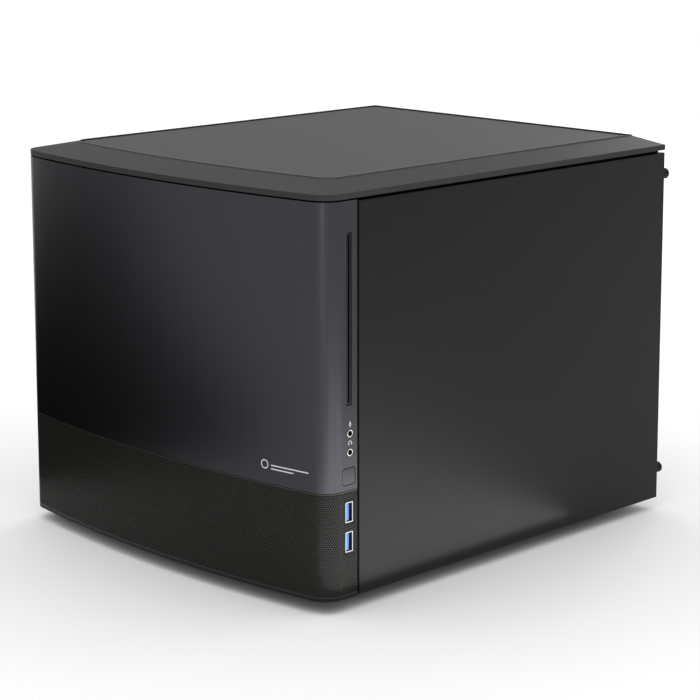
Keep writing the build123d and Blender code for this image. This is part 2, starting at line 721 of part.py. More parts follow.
with BuildPart() as psu_case:
    block((psu_x, psu_end, psu_low), (psu_right, rear_in, psu_top))
    fillet(psu_case.edges().filter_by(Axis.Y), radius=1.2)
    block((psu_x + psu_wall, psu_end + psu_wall, psu_low + psu_wall),
          (psu_right - psu_wall, rear_in - psu_wall, psu_top - psu_wall), Mode.SUBTRACT)
    with Locations((psu_fan[0], psu_fan[1], psu_low + psu_wall)):
        Hole(fan_bore, depth=psu_wall)
    with BuildSketch(Plane.XZ.offset(-rear_in)):
        with Locations(((comb_area[0] + comb_area[1]) / 2, psu_centre[1])):
            with GridLocations(7.0, 7.0, 12, 9):
                RegularPolygon(2.9, 6, major_radius=False)
        with Locations(inlet_centre):
            Rectangle(*inlet_size)
        with Locations(rocker_centre):
            Rectangle(rocker_size[0] + 3.0, rocker_size[1] + 3.0)
        with Locations(*psu_screws):
            Circle(thread_radius + 0.05)
    extrude(amount=psu_wall, mode=Mode.SUBTRACT)
    with BuildSketch(Plane.XZ.offset(-psu_end)):
        with Locations(cable_exit):
            Circle(8.0)
    extrude(amount=-psu_wall, mode=Mode.SUBTRACT)
psu_case.part.label = "psu_case"

guard_wire = 1.6
guard_reach = 62.0
with BuildPart() as psu_fan_guard:
    with BuildSketch(Plane.XY.offset(psu_low - guard_wire)):
        with Locations(psu_fan):
            for radius in (14.0, 28.0, 42.0, 56.0):
                Circle(radius)
                Circle(radius - guard_wire, mode=Mode.SUBTRACT)
            for turn in (45, 135):
                Rectangle(2 * guard_reach, guard_wire, rotation=turn)
    extrude(amount=guard_wire)
psu_fan_guard.part.label = "psu_fan_guard"

psu_fan_z = psu_low + psu_wall + fan_depth / 2
with BuildPart() as psu_inlet:
    with BuildSketch(Plane.XZ.offset(-rear_in)):
        with Locations(inlet_centre):
            Rectangle(*inlet_size)
    extrude(amount=18.0)
    with BuildSketch(Plane.XZ.offset(-rear_in)):
        with Locations(inlet_centre):
            RectangleRounded(inlet_size[0] + 5, inlet_size[1] + 3, 2.5)
    extrude(amount=-2.0)
    with BuildSketch(Plane.XZ.offset(-rear_in - 2.0)):
        with Locations(inlet_centre):
            RectangleRounded(24.0, 16.4, 3.0)
    extrude(amount=16.0, mode=Mode.SUBTRACT)
    with BuildSketch(Plane.XZ.offset(-rear_in + 14.0)):
        with Locations(*[(inlet_centre[0] + x, inlet_centre[1] + z)
                         for x, z in ((-7.0, -2.0), (0.0, 2.0), (7.0, -2.0))]):
            Rectangle(2.0, 4.0)
    extrude(amount=-9.0)
psu_inlet.part.label = "psu_inlet"

with BuildPart() as rocker_housing:
    with BuildSketch(Plane.XZ.offset(-rear_in)):
        with Locations(rocker_centre):
            Rectangle(rocker_size[0] + 3.0, rocker_size[1] + 3.0)
    extrude(amount=14.0)
    with BuildSketch(Plane.XZ.offset(-rear_in)):
        with Locations(rocker_centre):
            RectangleRounded(rocker_size[0] + 5.0, rocker_size[1] + 5.0, 1.5)
    extrude(amount=-1.0)
    with BuildSketch(Plane.XZ.offset(-rear_in - 1.0)):
        with Locations(rocker_centre):
            Rectangle(rocker_size[0] + 1.0, rocker_size[1] + 1.4)
    extrude(amount=11.0, mode=Mode.SUBTRACT)
rocker_housing.part.label = "rocker_housing"

rocker_y = rear_in - 1.0
half_rocker = rocker_size[1] / 2
rise = half_rocker * math.tan(math.radians(rocker_tilt))
rocker_side = (rocker_centre[0] - rocker_size[0] / 2, rocker_y, rocker_centre[1])
with BuildPart() as psu_rocker:
    with BuildSketch(Plane(Location(rocker_side, (rocker_tilt, 0, 0))) * Plane.YZ):
        with BuildLine():
            Polyline((2.2, 0), (2.2 + rise, half_rocker - 0.6), (0, half_rocker - 0.2), (-5.0, 3.0),
                     (-5.0, -3.0), (0, -half_rocker + 0.2), (2.2 + rise, -half_rocker + 0.6), close=True)
        make_face()
    extrude(amount=rocker_size[0])
psu_rocker.part.label = "psu_rocker"

with BuildPart() as psu_board:
    deck = psu_fan_z + fan_depth / 2 + 6.0
    block((psu_x + 6, psu_end + 6, psu_top - 6.0), (psu_right - 6, rear_in - 24, psu_top - 4.4))
    for x in (psu_x + 30, psu_x + 104):
        block((x, psu_end + 20, deck + 2), (x + 4, rear_in - 40, psu_top - 6.0))
        for i in range(8):
            block((x + 4, psu_end + 24 + i * 8, deck + 4), (x + 12, psu_end + 26 + i * 8, psu_top - 14))
    block((psu_x + 54, psu_end + 34, deck + 3), (psu_x + 88, psu_end + 70, psu_top - 6.0))
    for x, y in ((60, 92), (80, 92), (22, 50)):
        with Locations((psu_x + x, psu_end + y, (deck + 2 + psu_top - 6.0) / 2)):
            Cylinder(7.0, psu_top - 8.0 - deck)
psu_board.part.label = "psu_board"


# ================= Motherboard =================

with BuildPart() as motherboard:
    with BuildSketch(Plane.YZ.offset(board_face)):
        with Locations(((board_front + board_rear) / 2, (board_top + board_low) / 2)):
            Rectangle(board_size, board_size)
        with Locations(*board_holes):
            Circle(2.0, mode=Mode.SUBTRACT)
    extrude(amount=board_thickness)
motherboard.part.label = "motherboard"

with BuildPart() as standoffs:
    for y, z in board_holes:
        with Locations(Location((tray_x - standoff_height / 2, y, z), (0, 90, 0))):
            Cylinder(standoff_radius, standoff_height)
        with Locations(Location((tray_x + 1.5, y, z), (0, 90, 0))):
            Cylinder(1.5, 3.0)
standoffs.part.label = "standoffs"

# Rear connectors, listed as drop below the aperture's top edge, length and height off the board.
port_blocks = [(12.0, 14.0, 31.0), (31.0, 14.0, 30.0), (50.0, 16.0, 21.0), (70.0, 14.0, 30.0),
               (90.0, 16.0, 30.0), (124.0, 36.0, 33.0)]
port_depth = 20.0
port_socket = 8.0
port_face = rear_out + 0.6

with BuildPart() as board_ports:
    for drop, width, tall in port_blocks:
        z = aperture_top - drop
        low = z - width / 2
        high = z + width / 2
        block((board_face - tall, port_face - port_depth, low), (board_face, port_face, high))
        if width < 30:
            block((board_face - tall + 2, port_face - port_socket, low + 1.5),
                  (board_face - 3, port_face, high - 1.5), Mode.SUBTRACT)
        else:
            with Locations(*[Location((board_face - x, port_face - 6.0, z + dz), (90, 0, 0))
                             for x in (10.0, 23.0) for dz in (-12.0, 0.0, 12.0)]):
                Cylinder(jack_bore, 12.1, mode=Mode.SUBTRACT)
board_ports.part.label = "board_ports"

with BuildPart() as io_shield:
    with BuildSketch(Plane.XZ.offset(-rear_in)):
        with Locations((board_face + 2.0 - aperture[0] / 2, aperture_top - aperture[1] / 2)):
            Rectangle(aperture[0] + 2, aperture[1] + 2)
        for drop, width, tall in port_blocks:
            with Locations((board_face - tall / 2, aperture_top - drop)):
                Rectangle(tall + 0.8, width + 0.8, mode=Mode.SUBTRACT)
    extrude(amount=0.5)
io_shield.part.label = "io_shield"

socket_size = 46.0
socket_height = 4.0
lid_size = 30.0
with BuildPart() as processor_socket:
    with Locations((board_face - socket_height / 2, cpu_place[0], cpu_place[1])):
        Box(socket_height, socket_size, socket_size)
        Box(socket_height + 1, lid_size + 1, lid_size + 1, mode=Mode.SUBTRACT)
processor_socket.part.label = "processor_socket"

lid_height = 4.6
with BuildPart() as processor:
    with Locations((board_face - lid_height / 2, cpu_place[0], cpu_place[1])):
        Box(lid_height, lid_size, lid_size)
processor.part.label = "processor"

memory_y = [cpu_place[0] - 64.0 - i * 9.0 for i in range(4)]
memory_low = cpu_place[1] - 68.0
memory_high = cpu_place[1] + 68.0
slot_back = board_rear - 50.0
slot_length = 89.0
with BuildPart() as board_sockets:
    for y in memory_y:
        block((board_face - 8, y - 3, memory_low), (board_face, y + 3, memory_high))
        block((board_face - 9, y - 1.2, memory_low + 2), (board_face - 3, y + 1.2, memory_high - 2),
              Mode.SUBTRACT)
    for z in slot_heights[1:]:
        block((board_face - 11, slot_back - slot_length, z - 3.6), (board_face, slot_back, z + 3.6))
        block((board_face - 12, slot_back - slot_length + 3, z - 0.9),
              (board_face - 3, slot_back - 3, z + 0.9), Mode.SUBTRACT)
    # Power connector, fan header, drive sockets and capacitors.
    block((board_face - 12, board_front + 2, memory_low - 2),
          (board_face, board_front + 12, memory_low + 50))
    block((board_face - 10, board_rear - 60, board_top - 12),
          (board_face, board_rear - 40, board_top - 2))
    for i in range(3):
        block((board_face - 9, board_front + 2, board_low + 30 + i * 15),
              (board_face, board_front + 16, board_low + 40 + i * 15))
    with Locations(*[Location((board_face - 5, cpu_place[0] + 34, cpu_place[1] + rise), (0, 90, 0))
                     for rise in range(-36, 36, 12)]):
        Cylinder(4.0, 10)
board_sockets.part.label = "board_sockets"

with BuildPart() as memory_modules:
    for y in memory_y[::2]:
        block((board_face - 33, y - 0.7, memory_low + 3), (board_face - 3, y + 0.7, memory_high - 3))
        for i in range(8):
            z = cpu_place[1] - 60 + i * 15.5
            block((board_face - 28, y - 1.7, z), (board_face - 16, y + 1.7, z + 10))
memory_modules.part.label = "memory_modules"

with BuildPart() as chipset_heatsink:
    sink = (board_front + 30.0, board_low + 34.0)
    block((board_face - 4, sink[0], sink[1]), (board_face, sink[0] + 42, sink[1] + 42))
    for i in range(9):
        fin_z = sink[1] + 0.5 + i * 5
        block((board_face - 9, sink[0], fin_z), (board_face - 4, sink[0] + 42, fin_z + 1.5))
chipset_heatsink.part.label = "chipset_heatsink"


# ================= Processor cooler =================

cooler_foot = board_face - lid_height
cooler_depth = 50.0
fin_first = cooler_foot - 38.0
fin_pitch = 2.6
fin_count = 42
fin_sheet = 0.6
pipe_radius = 3.0
fin_last = fin_first - (fin_count - 1) * fin_pitch
cooler_fan_y = cpu_place[0] - cooler_depth / 2 - fan_depth / 2
cooler_fan_x = (fin_first + fin_last) / 2
pipe_places = [(cpu_place[0] + dy, cpu_place[1] + dz) for dy in (-12.0, 12.0) for dz in (-12.0, 12.0)]

with BuildPart() as cooler_base:
    block((cooler_foot - 10, cpu_place[0] - 19, cpu_place[1] - 19),
          (cooler_foot, cpu_place[0] + 19, cpu_place[1] + 19))
    with BuildSketch(Plane.YZ.offset(cooler_foot - 5)):
        with Locations(*pipe_places):
            Circle(pipe_radius)
    extrude(amount=fin_last - 4 - cooler_foot + 5)
cooler_base.part.label = "cooler_base"

with BuildPart() as cooler_fins:
    with BuildSketch(Plane.YZ.offset(fin_last)) as fin_plan:
        with Locations(cpu_place):
            RectangleRounded(cooler_depth, fan_size, 5)
        with Locations(*pipe_places):
            Circle(pipe_radius, mode=Mode.SUBTRACT)
    for i in range(fin_count):
        extrude(fin_plan.sketch.moved(Location((i * fin_pitch, 0, 0))), amount=fin_sheet)
cooler_fins.part.label = "cooler_fins"


# ================= Fans in their places =================

seats = {place: Location(seat, along_y) for place, seat in case_fans.items()}
seats["cooler"] = Location((cooler_fan_x, cooler_fan_y, cpu_place[1]), along_y)
seats["psu"] = Location((psu_fan[0], psu_fan[1], psu_fan_z))
frame_shape = make_frame()
rotor_shape = make_rotor()

with BuildPart() as fan_frames:
    with Locations(*seats.values()):
        add(frame_shape)
fan_frames.part.label = "fan_frames"

rotors = {}
for place, seat in seats.items():
    with BuildPart() as rotor:
        with Locations(seat):
            add(rotor_shape)
    rotor.part.label = f"fan_rotor_{place}"
    rotors[place] = rotor


# ================= Slot covers, drives and screws =================

with BuildPart() as slot_covers:
    for z in slot_heights:
        block((bracket_x[0], rear_in - 0.9, z - bracket[1] / 2),
              (bracket_x[1], rear_in, z + bracket[1] / 2))
        for drop in (-4.6, 0.0, 4.6):
            with Locations((sum(bracket_x) / 2 + 3, rear_in - 0.45, z + drop)):
                Box(86, 2, 2.4, mode=Mode.SUBTRACT)
        with Locations(Location((bracket_screw_x, rear_in - 0.45, z), (90, 0, 0))):
            Cylinder(thread_radius + 0.05, 2, mode=Mode.SUBTRACT)
slot_covers.part.label = "slot_covers"

cage_pitch = 32.0
cage_low = roof_bottom - 116.0
cage_y = (plate_in + 12.0, plate_in + 160.0)
cage_x = [right_fan_x + i * cage_pitch - sheet / 2 for i in (-1, 0, 1)]
drive_size = (26.1, 146.0, 101.6)
drive_low = cage_low + 4.0
drive_start = cage_y[0] + 1.0
drive_x = [x + sheet + (cage_pitch - sheet - drive_size[0]) / 2 for x in cage_x[:2]]
grommet_places = [(drive_start + y, drive_low + z) for y in (30.0, 74.0, 116.0) for z in (28.0, 74.0)]

with BuildPart() as drive_cage:
    block((cage_x[0], cage_y[0], roof_bottom - sheet), (cage_x[2] + sheet, cage_y[1], roof_bottom))
    for x in cage_x:
        block((x, cage_y[0], cage_low), (x + sheet, cage_y[1], roof_bottom - sheet))
    for y in (cage_y[0] + 6, (cage_y[0] + cage_y[1]) / 2 - 8, cage_y[1] - 22):
        block((cage_x[0], y, cage_low), (cage_x[2] + sheet, y + 16, cage_low + sheet))
    with BuildSketch(Plane.YZ.offset(cage_x[0])):
        with Locations(((cage_y[0] + cage_y[1]) / 2, (cage_low + roof_bottom) / 2)):
            with GridLocations(44.0, 1, 3, 1):
                SlotOverall(64, 12, rotation=90)
    extrude(amount=2 * cage_pitch + sheet, mode=Mode.SUBTRACT)
drive_cage.part.label = "drive_cage"

with BuildPart() as hard_drives:
    for x in drive_x:
        block((x, drive_start, drive_low),
              (x + drive_size[0], drive_start + drive_size[1], drive_low + drive_size[2]))
    fillet(hard_drives.edges().filter_by(Axis.X), radius=2.5)
hard_drives.part.label = "hard_drives"

with BuildPart() as drive_grommets:
    for x in drive_x:
        gap = (cage_pitch - sheet - drive_size[0]) / 2
        for start in (x - gap, x + drive_size[0]):
            with Locations(*[Location((start + gap / 2, y, z), (0, 90, 0)) for y, z in grommet_places]):
                Cylinder(4.5, gap)
drive_grommets.part.label = "drive_grommets"

ssd_size = (7.0, 100.0, 69.85)
ssd_place = (tray_x + sheet, plate_in + 34.0, floor_top + 140.0)
with BuildPart() as solid_state_drive:
    block(ssd_place, tuple(a + b for a, b in zip(ssd_place, ssd_size)))
    fillet(solid_state_drive.edges().filter_by(Axis.X), radius=2.0)
solid_state_drive.part.label = "solid_state_drive"

optical_size = (126.0, 12.7, 126.0)
# The wing's inner wall bends away in front of bend_start, so a drive that reaches past it sits further in.
bend_centre_x = half_width - corner_radius
bend_start = y_apex + bow_radius - math.sqrt((bow_radius - corner_radius) ** 2 - bend_centre_x ** 2)
bend_past = max(0.0, bend_start - slot_centre[0] + optical_size[1] / 2)
bend_inner = corner_radius - carrier_in
optical_face = half_width - carrier_in - 0.6 - bend_inner + math.sqrt(bend_inner ** 2 - bend_past ** 2)
with BuildPart() as optical_drive:
    with Locations((optical_face - optical_size[0] / 2, *slot_centre)):
        Box(*optical_size)
    with Locations((optical_face - 30, *slot_centre)):
        Box(61, 2.4, 121, mode=Mode.SUBTRACT)
optical_drive.part.label = "optical_drive"

with BuildPart() as optical_bracket:
    back = slot_centre[0] + optical_size[1] / 2
    top = slot_centre[1] + optical_size[2] / 2
    block((optical_face - 108, back, top - 5), (optical_face - 58, plate_out, top - 1))
    block((optical_face - 10, back, slot_centre[1] - 12),
          (optical_face - 0.5, plate_out, slot_centre[1] + 12))
optical_bracket.part.label = "optical_bracket"

with BuildPart() as case_screws:
    # Power supply and slot cover screws, from behind.
    with BuildSketch(Plane.XZ.offset(-rear_out)):
        with Locations(*psu_screws, *[(bracket_screw_x, z) for z in slot_heights]):
            Circle(3.4)
    extrude(amount=-1.6)
    with BuildSketch(Plane.XZ.offset(-rear_out)):
        with Locations(*psu_screws, *[(bracket_screw_x, z) for z in slot_heights]):
            Circle(thread_radius)
    extrude(amount=5.0)
    # Foot screws, from inside the floor.
    with BuildSketch(Plane.XY.offset(floor_top)):
        with Locations(*foot_places):
            Circle(3.4)
    extrude(amount=1.6)
    with BuildSketch(Plane.XY.offset(floor_top)):
        with Locations(*foot_places):
            Circle(thread_radius)
    extrude(amount=-6.0)
    # Board screws, into the standoffs.
    for y, z in board_holes:
        with Locations(Location((board_face - 0.9, y, z), (0, 90, 0))):
            Cylinder(3.2, 1.8)
        with Locations(Location((board_face + board_thickness / 2, y, z), (0, 90, 0))):
            Cylinder(1.6, board_thickness)
case_screws.part.label = "case_screws"


# ================= Files =================

os.makedirs("parts", exist_ok=True)
pieces = [base_pan, rear_panel, front_plate, top_plate, motherboard_tray]
pieces += [left_side_panel, right_side_panel, *thumbscrews.values()]
pieces += [front_bezel, brushed_face, front_grille, usb_surround, slot_trim, power_button]
pieces += [io_board, usb_shells, usb_tongues, audio_jacks, front_filters]
pieces += [top_cover, top_mesh, feet, foot_pads, psu_filter]
pieces += [fan_frames, *rotors.values(), fan_screws]
pieces += [psu_case, psu_fan_guard, psu_inlet, rocker_housing, psu_rocker, psu_board]
pieces += [motherboard, standoffs, board_ports, io_shield, processor_socket, processor]
pieces += [board_sockets, memory_modules, chipset_heatsink, cooler_base, cooler_fins]
pieces += [slot_covers, drive_cage, hard_drives, drive_grommets, solid_state_drive]
pieces += [optical_drive, optical_bracket, case_screws]
for piece in pieces:
    export_step(piece.part, f"parts/{piece.part.label}.step")
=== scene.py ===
"""Looks of a cube-shaped desktop computer: finishes for every part, its fine pieces, light and camera."""

import json
import logging
import math
from dataclasses import dataclass
from enum import Enum

import bmesh
import bpy
from mathutils import Matrix, Vector


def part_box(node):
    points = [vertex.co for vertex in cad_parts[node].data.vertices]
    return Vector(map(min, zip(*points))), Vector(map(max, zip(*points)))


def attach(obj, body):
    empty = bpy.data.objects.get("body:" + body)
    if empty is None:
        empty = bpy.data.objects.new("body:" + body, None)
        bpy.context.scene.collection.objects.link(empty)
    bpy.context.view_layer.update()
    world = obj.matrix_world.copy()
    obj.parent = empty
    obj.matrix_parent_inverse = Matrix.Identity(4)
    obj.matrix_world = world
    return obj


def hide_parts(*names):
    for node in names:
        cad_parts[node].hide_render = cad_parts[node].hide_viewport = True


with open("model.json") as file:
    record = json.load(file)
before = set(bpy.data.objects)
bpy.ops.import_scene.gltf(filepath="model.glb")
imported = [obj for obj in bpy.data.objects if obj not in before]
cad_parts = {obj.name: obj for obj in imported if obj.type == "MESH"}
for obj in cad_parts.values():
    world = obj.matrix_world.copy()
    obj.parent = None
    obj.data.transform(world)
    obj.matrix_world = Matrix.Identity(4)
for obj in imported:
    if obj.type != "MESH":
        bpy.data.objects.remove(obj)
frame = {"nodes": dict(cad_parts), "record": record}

Shape, Vert, Piece = bmesh.types.BMesh, bmesh.types.BMVert, bpy.types.Object
Tree, Node, Socket = bpy.types.NodeTree, bpy.types.Node, bpy.types.NodeSocket

LOG = logging.getLogger("cube_computer")
MM = 0.001
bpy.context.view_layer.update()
MERGE_DISTANCE = 0.002 * MM  # points of a CAD mesh nearer than this are one point
FLAT_ANGLE = math.radians(0.2)  # facets that turn less than this are one face
ON_PLANE = 1e-7  # points nearer than this to a cutting plane lie on it
BAR_WIDTH = 1 * MM  # every thin bar is narrower than this
NOISE_RANGE = (0.25, 0.75)  # where nearly all of a noise pattern's values lie
DRAWN_OUT = 0.006  # how much slower a brushed pattern changes along its lines
STOOD_UP = Matrix.Rotation(-math.pi / 2, 4, "X")  # stands a flat shape up, so that it faces +y


def linear(code: str) -> tuple[float, float, float, float]:
    """Turns an sRGB hex colour into linear light.

    Args:
        code: Six hex digits, such as "2b2b2d".

    Returns:
        Red, green, blue and an alpha of 1, all linear.
    """
    steps = [int(code[i:i + 2], 16) / 255 for i in (0, 2, 4)]
    light = [c / 12.92 if c <= 0.04045 else ((c + 0.055) / 1.055) ** 2.4 for c in steps]
    return (*light, 1.0)


def add_node(tree: Tree, kind: str, values: dict | None = None, links: dict | None = None,
             **settings) -> Node:
    """Adds one shader node.

    Args:
        tree: The node tree that gets the node.
        kind: The node's type, without "ShaderNode".
        values: Constant values by input socket.
        links: Output sockets to connect, by input socket.
        **settings: Properties of the node itself.

    Returns:
        The new node.
    """
    node = tree.nodes.new("ShaderNode" + kind)
    for name, setting in settings.items():
        setattr(node, name, setting)
    for socket, value in (values or {}).items():
        node.inputs[socket].default_value = value
    for socket, source in (links or {}).items():
        tree.links.new(source, node.inputs[socket])
    return node


# ---- Finishes


class Brushing(Enum):
    """Direction that brush lines run in."""

    UPRIGHT = (1.0, 1.0, DRAWN_OUT)
    LENGTHWISE = (1.0, DRAWN_OUT, 1.0)
    ACROSS = (DRAWN_OUT, 1.0, 1.0)


@dataclass(frozen=True)
class Finish:
    """A finish with a fine even grain in its height, roughness and tone.

    Attributes:
        name: Name of the material and how its surface was made.
        colour: sRGB hex colour of the surface.
        roughness: Mean roughness.
        metallic: 1 for bare metal.
        ior: Index of refraction.
        grain_mm: Size of the grain.
        grain_depth_mm: Height of the grain.
        tone: How far the tone wanders, as a share.
        gloss: Specular level, less than 0.5 for open pores.
        clouds: Clouds of tone in a metre.
    """

    name: str
    colour: str
    roughness: float
    metallic: float = 0.0
    ior: float = 1.5
    grain_mm: float = 0.8
    grain_depth_mm: float = 0.015
    tone: float = 0.12
    gloss: float = 0.5
    clouds: float = 9.0

    def material(self) -> bpy.types.Material:
        """Returns the finish's material, which is built once."""
        found = bpy.data.materials.get(self.name)
        return found or self.build()

    def build(self) -> bpy.types.Material:
        """Builds the material's nodes.

        Returns:
            The new material.
        """
        material = bpy.data.materials.new(self.name)
        material.use_nodes = True
        tree = material.node_tree
        shader = tree.nodes["Principled BSDF"]
        if self.metallic < 0.5:
            shader.inputs["IOR"].default_value = self.ior
            shader.inputs["Specular IOR Level"].default_value = self.gloss
        shader.inputs["Metallic"].default_value = self.metallic
        place = add_node(tree, "TexCoord").outputs["Object"]
        self.dress(tree, shader, place)
        return material

    def dress(self, tree: Tree, shader: Node, place: Socket) -> None:
        """Adds the pattern of the finish.

        Args:
            tree: Its nodes.
            shader: Its shader.
            place: Object coordinates.
        """
        grain = add_node(tree, "TexNoise", {"Scale": 1 / (self.grain_mm * MM), "Detail": 3.0},
                         {"Vector": place}).outputs["Fac"]
        cloud = add_node(tree, "TexNoise", {"Scale": self.clouds, "Detail": 4.0},
                         {"Vector": place}).outputs["Fac"]
        self.set_colour(tree, shader, cloud)
        self.set_roughness(tree, shader, grain)
        self.set_height(tree, shader, grain, self.grain_depth_mm)

    def set_colour(self, tree: Tree, shader: Node, mask: Socket,
                   other: str | None = None) -> None:
        """Mixes the finish's colour by a mask.

        Args:
            tree: Its nodes.
            shader: Its shader.
            mask: 0 to 1.
            other: Colour where the mask is 1, or None for a paler tone.
        """
        low = linear(self.colour)
        high = linear(other) if other else tuple(min(1.0, c * (1 + 2 * self.tone)) for c in low[:3]) + (1.0,)
        mix = add_node(tree, "Mix", data_type="RGBA")
        mix.inputs[6].default_value = low
        mix.inputs[7].default_value = high
        tree.links.new(mask, mix.inputs[0])
        tree.links.new(mix.outputs[2], shader.inputs["Base Color"])

    def set_roughness(self, tree: Tree, shader: Node, mask: Socket,
                      spread: float = 0.06) -> None:
        """Lets the roughness vary with a mask.

        Args:
            tree: Its nodes.
            shader: Its shader.
            mask: 0 to 1.
            spread: How far the roughness goes each way.
        """
        ranged = add_node(tree, "MapRange", {"From Min": NOISE_RANGE[0], "From Max": NOISE_RANGE[1],
                          "To Min": max(0.02, self.roughness - spread), "To Max": self.roughness + spread},
                          {"Value": mask})
        tree.links.new(ranged.outputs["Result"], shader.inputs["Roughness"])

    def set_height(self, tree: Tree, shader: Node, height: Socket,
                   depth_mm: float) -> None:
        """Gives the surface a fine relief.

        Args:
            tree: Its nodes.
            shader: Its shader.
            height: 0 to 1.
            depth_mm: Depth of the relief.
        """
        bump = add_node(tree, "Bump", {"Distance": depth_mm * MM, "Strength": 1.0},
                        {"Height": height})
        tree.links.new(bump.outputs["Normal"], shader.inputs["Normal"])


@dataclass(frozen=True)
class BrushedMetal(Finish):
    """Sheet brushed in one direction, so that lights stretch across the lines.

    Attributes:
        brushing: Direction of the lines.
        line_mm: Width of a fine line.
        band: Width of a broad line, in fine lines.
        contrast: Product of both patterns at the darkest and the palest tone.
        gloss_spread: How far the roughness goes each way.
    """

    brushing: Brushing = Brushing.UPRIGHT
    line_mm: float = 0.9
    band: float = 6.0
    contrast: tuple[float, float] = (0.12, 0.42)
    gloss_spread: float = 0.03

    def dress(self, tree: Tree, shader: Node, place: Socket) -> None:
        """Adds the brush lines.

        Args:
            tree: Its nodes.
            shader: Its shader.
            place: Object coordinates.
        """
        stretch = add_node(tree, "VectorMath", {1: self.brushing.value}, {0: place},
                           operation="MULTIPLY")
        lines = add_node(tree, "TexNoise", {"Scale": 1 / (self.line_mm * MM), "Detail": 4.0,
                         "Roughness": 0.65}, {"Vector": stretch.outputs[0]}).outputs["Fac"]
        broad = add_node(tree, "TexNoise", {"Scale": 1 / (self.band * self.line_mm * MM),
                         "Detail": 2.0}, {"Vector": stretch.outputs[0]}).outputs["Fac"]
        both = add_node(tree, "Math", {}, {0: lines, 1: broad}, operation="MULTIPLY")
        spread = add_node(tree, "MapRange", {"From Min": self.contrast[0],
                          "From Max": self.contrast[1]}, {"Value": both.outputs[0]}).outputs["Result"]
        self.set_colour(tree, shader, spread)
        self.set_roughness(tree, shader, lines, self.gloss_spread)
        self.set_height(tree, shader, lines, self.grain_depth_mm)


@dataclass(frozen=True)
class PerforatedSheet(Finish):
    """Painted sheet with a fine staggered pattern of round holes, drawn as sunk dots whose near-black colour
    is painted shade.

    Attributes:
        pitch_mm: Distance between holes in a row.
        hole_mm: Diameter of a hole.
        edge: Where a hole's edge starts and ends, as shares of its radius.
        dish_mm: How deep the holes look.
        hole_shade_colour: sRGB hex colour inside a hole.
    """

    pitch_mm: float = 1.785
    hole_mm: float = 1.15
    edge: tuple[float, float] = (0.85, 1.12)
    dish_mm: float = 0.2
    hole_shade_colour: str = "040404"

    def dress(self, tree: Tree, shader: Node, place: Socket) -> None:
        """Adds the holes.

        Args:
            tree: Its nodes.
            shader: Its shader.
            place: Object coordinates.
        """
        pitch = self.pitch_mm * MM
        cell = (pitch, pitch * math.sqrt(3), 0.0)
        counted = add_node(tree, "VectorMath", {1: (1 / cell[0], 1 / cell[1], 0.0)}, {0: place},
                           operation="MULTIPLY").outputs[0]
        # A staggered pattern is two square ones, the second moved by half a cell both ways.
        reach = []
        for shift in (0.0, 0.5):
            moved = add_node(tree, "VectorMath", {1: (shift, shift, 0.0)}, {0: counted},
                             operation="ADD")
            wrapped = add_node(tree, "VectorMath", {1: (0.5, 0.5, 1.0), 2: (-0.5, -0.5, -1.0)},
                               {0: moved.outputs[0]}, operation="WRAP")
            sized = add_node(tree, "VectorMath", {1: cell}, {0: wrapped.outputs[0]},
                             operation="MULTIPLY")
            reach.append(add_node(tree, "VectorMath", {}, {0: sized.outputs[0]},
                                  operation="LENGTH").outputs["Value"])
        nearest = add_node(tree, "Math", {}, {0: reach[0], 1: reach[1]},
                           operation="MINIMUM").outputs[0]
        radius = self.hole_mm * MM / 2
        metal = add_node(tree, "MapRange", {"From Min": radius * self.edge[0],
                         "From Max": radius * self.edge[1]}, {"Value": nearest}).outputs["Result"]
        hole = add_node(tree, "Math", {0: 1.0}, {1: metal}, operation="SUBTRACT").outputs[0]
        # The holes take a near-black colour: painted shade for the dark seen through them.
        self.set_colour(tree, shader, hole, self.hole_shade_colour)
        grain = add_node(tree, "TexNoise", {"Scale": 1 / (self.grain_mm * MM)}, {"Vector": place})
        self.set_roughness(tree, shader, grain.outputs["Fac"])
        self.set_height(tree, shader, metal, self.dish_mm)


@dataclass(frozen=True)
class CircuitBoard(Finish):
    """Solder mask over copper tracks that run in straight and stepped lines.

    Attributes:
        track_colour: sRGB hex colour over a track.
        cells: Cells of the track pattern in a metre.
        tracks: Tracks across a cell.
        edge: Where a track's edge starts and ends.
        track_mm: Height of a track.
    """

    track_colour: str = "1d2a22"
    cells: float = 130.0
    tracks: float = 14.0
    edge: tuple[float, float] = (0.2, 0.3)
    track_mm: float = 0.03

    def dress(self, tree: Tree, shader: Node, place: Socket) -> None:
        """Adds the tracks.

        Args:
            tree: Its nodes.
            shader: Its shader.
            place: Object coordinates.
        """
        cells = add_node(tree, "TexVoronoi", {"Scale": self.cells, "Randomness": 0.8},
                         {"Vector": place}, distance="CHEBYCHEV", feature="F1").outputs["Distance"]
        rings = add_node(tree, "Math", {1: self.tracks}, {0: cells}, operation="MULTIPLY")
        wave = add_node(tree, "Math", {1: 0.5}, {0: rings.outputs[0]},
                        operation="PINGPONG").outputs[0]
        track = add_node(tree, "MapRange", {"From Min": self.edge[0], "From Max": self.edge[1]},
                         {"Value": wave})
        self.set_colour(tree, shader, track.outputs["Result"], self.track_colour)
        self.set_roughness(tree, shader, cells)
        self.set_height(tree, shader, track.outputs["Result"], self.track_mm)


# Powder coat on steel: a soft orange peel that blurs reflections.
BLACK_STEEL = Finish("black_powder_coated_steel", "101010", 0.4, grain_mm=1.1, grain_depth_mm=0.012,
                     gloss=0.17)
GRILLE_STEEL = Finish("black_painted_perforated_steel", "21201c", 0.34, grain_mm=0.5, grain_depth_mm=0.004,
                      gloss=0.36)
TOP_SHEET = PerforatedSheet("black_painted_top_mesh", "2c2c2d", 0.45, gloss=0.4)
# Anodised aluminium keeps its brush lines, so highlights on the bow stretch upright.
BRUSHED_FRONT = BrushedMetal("black_anodised_brushed_aluminium", "3e3e42", 0.3, metallic=1.0,
                             grain_depth_mm=0.0003,
                             tone=0.04, line_mm=0.3)
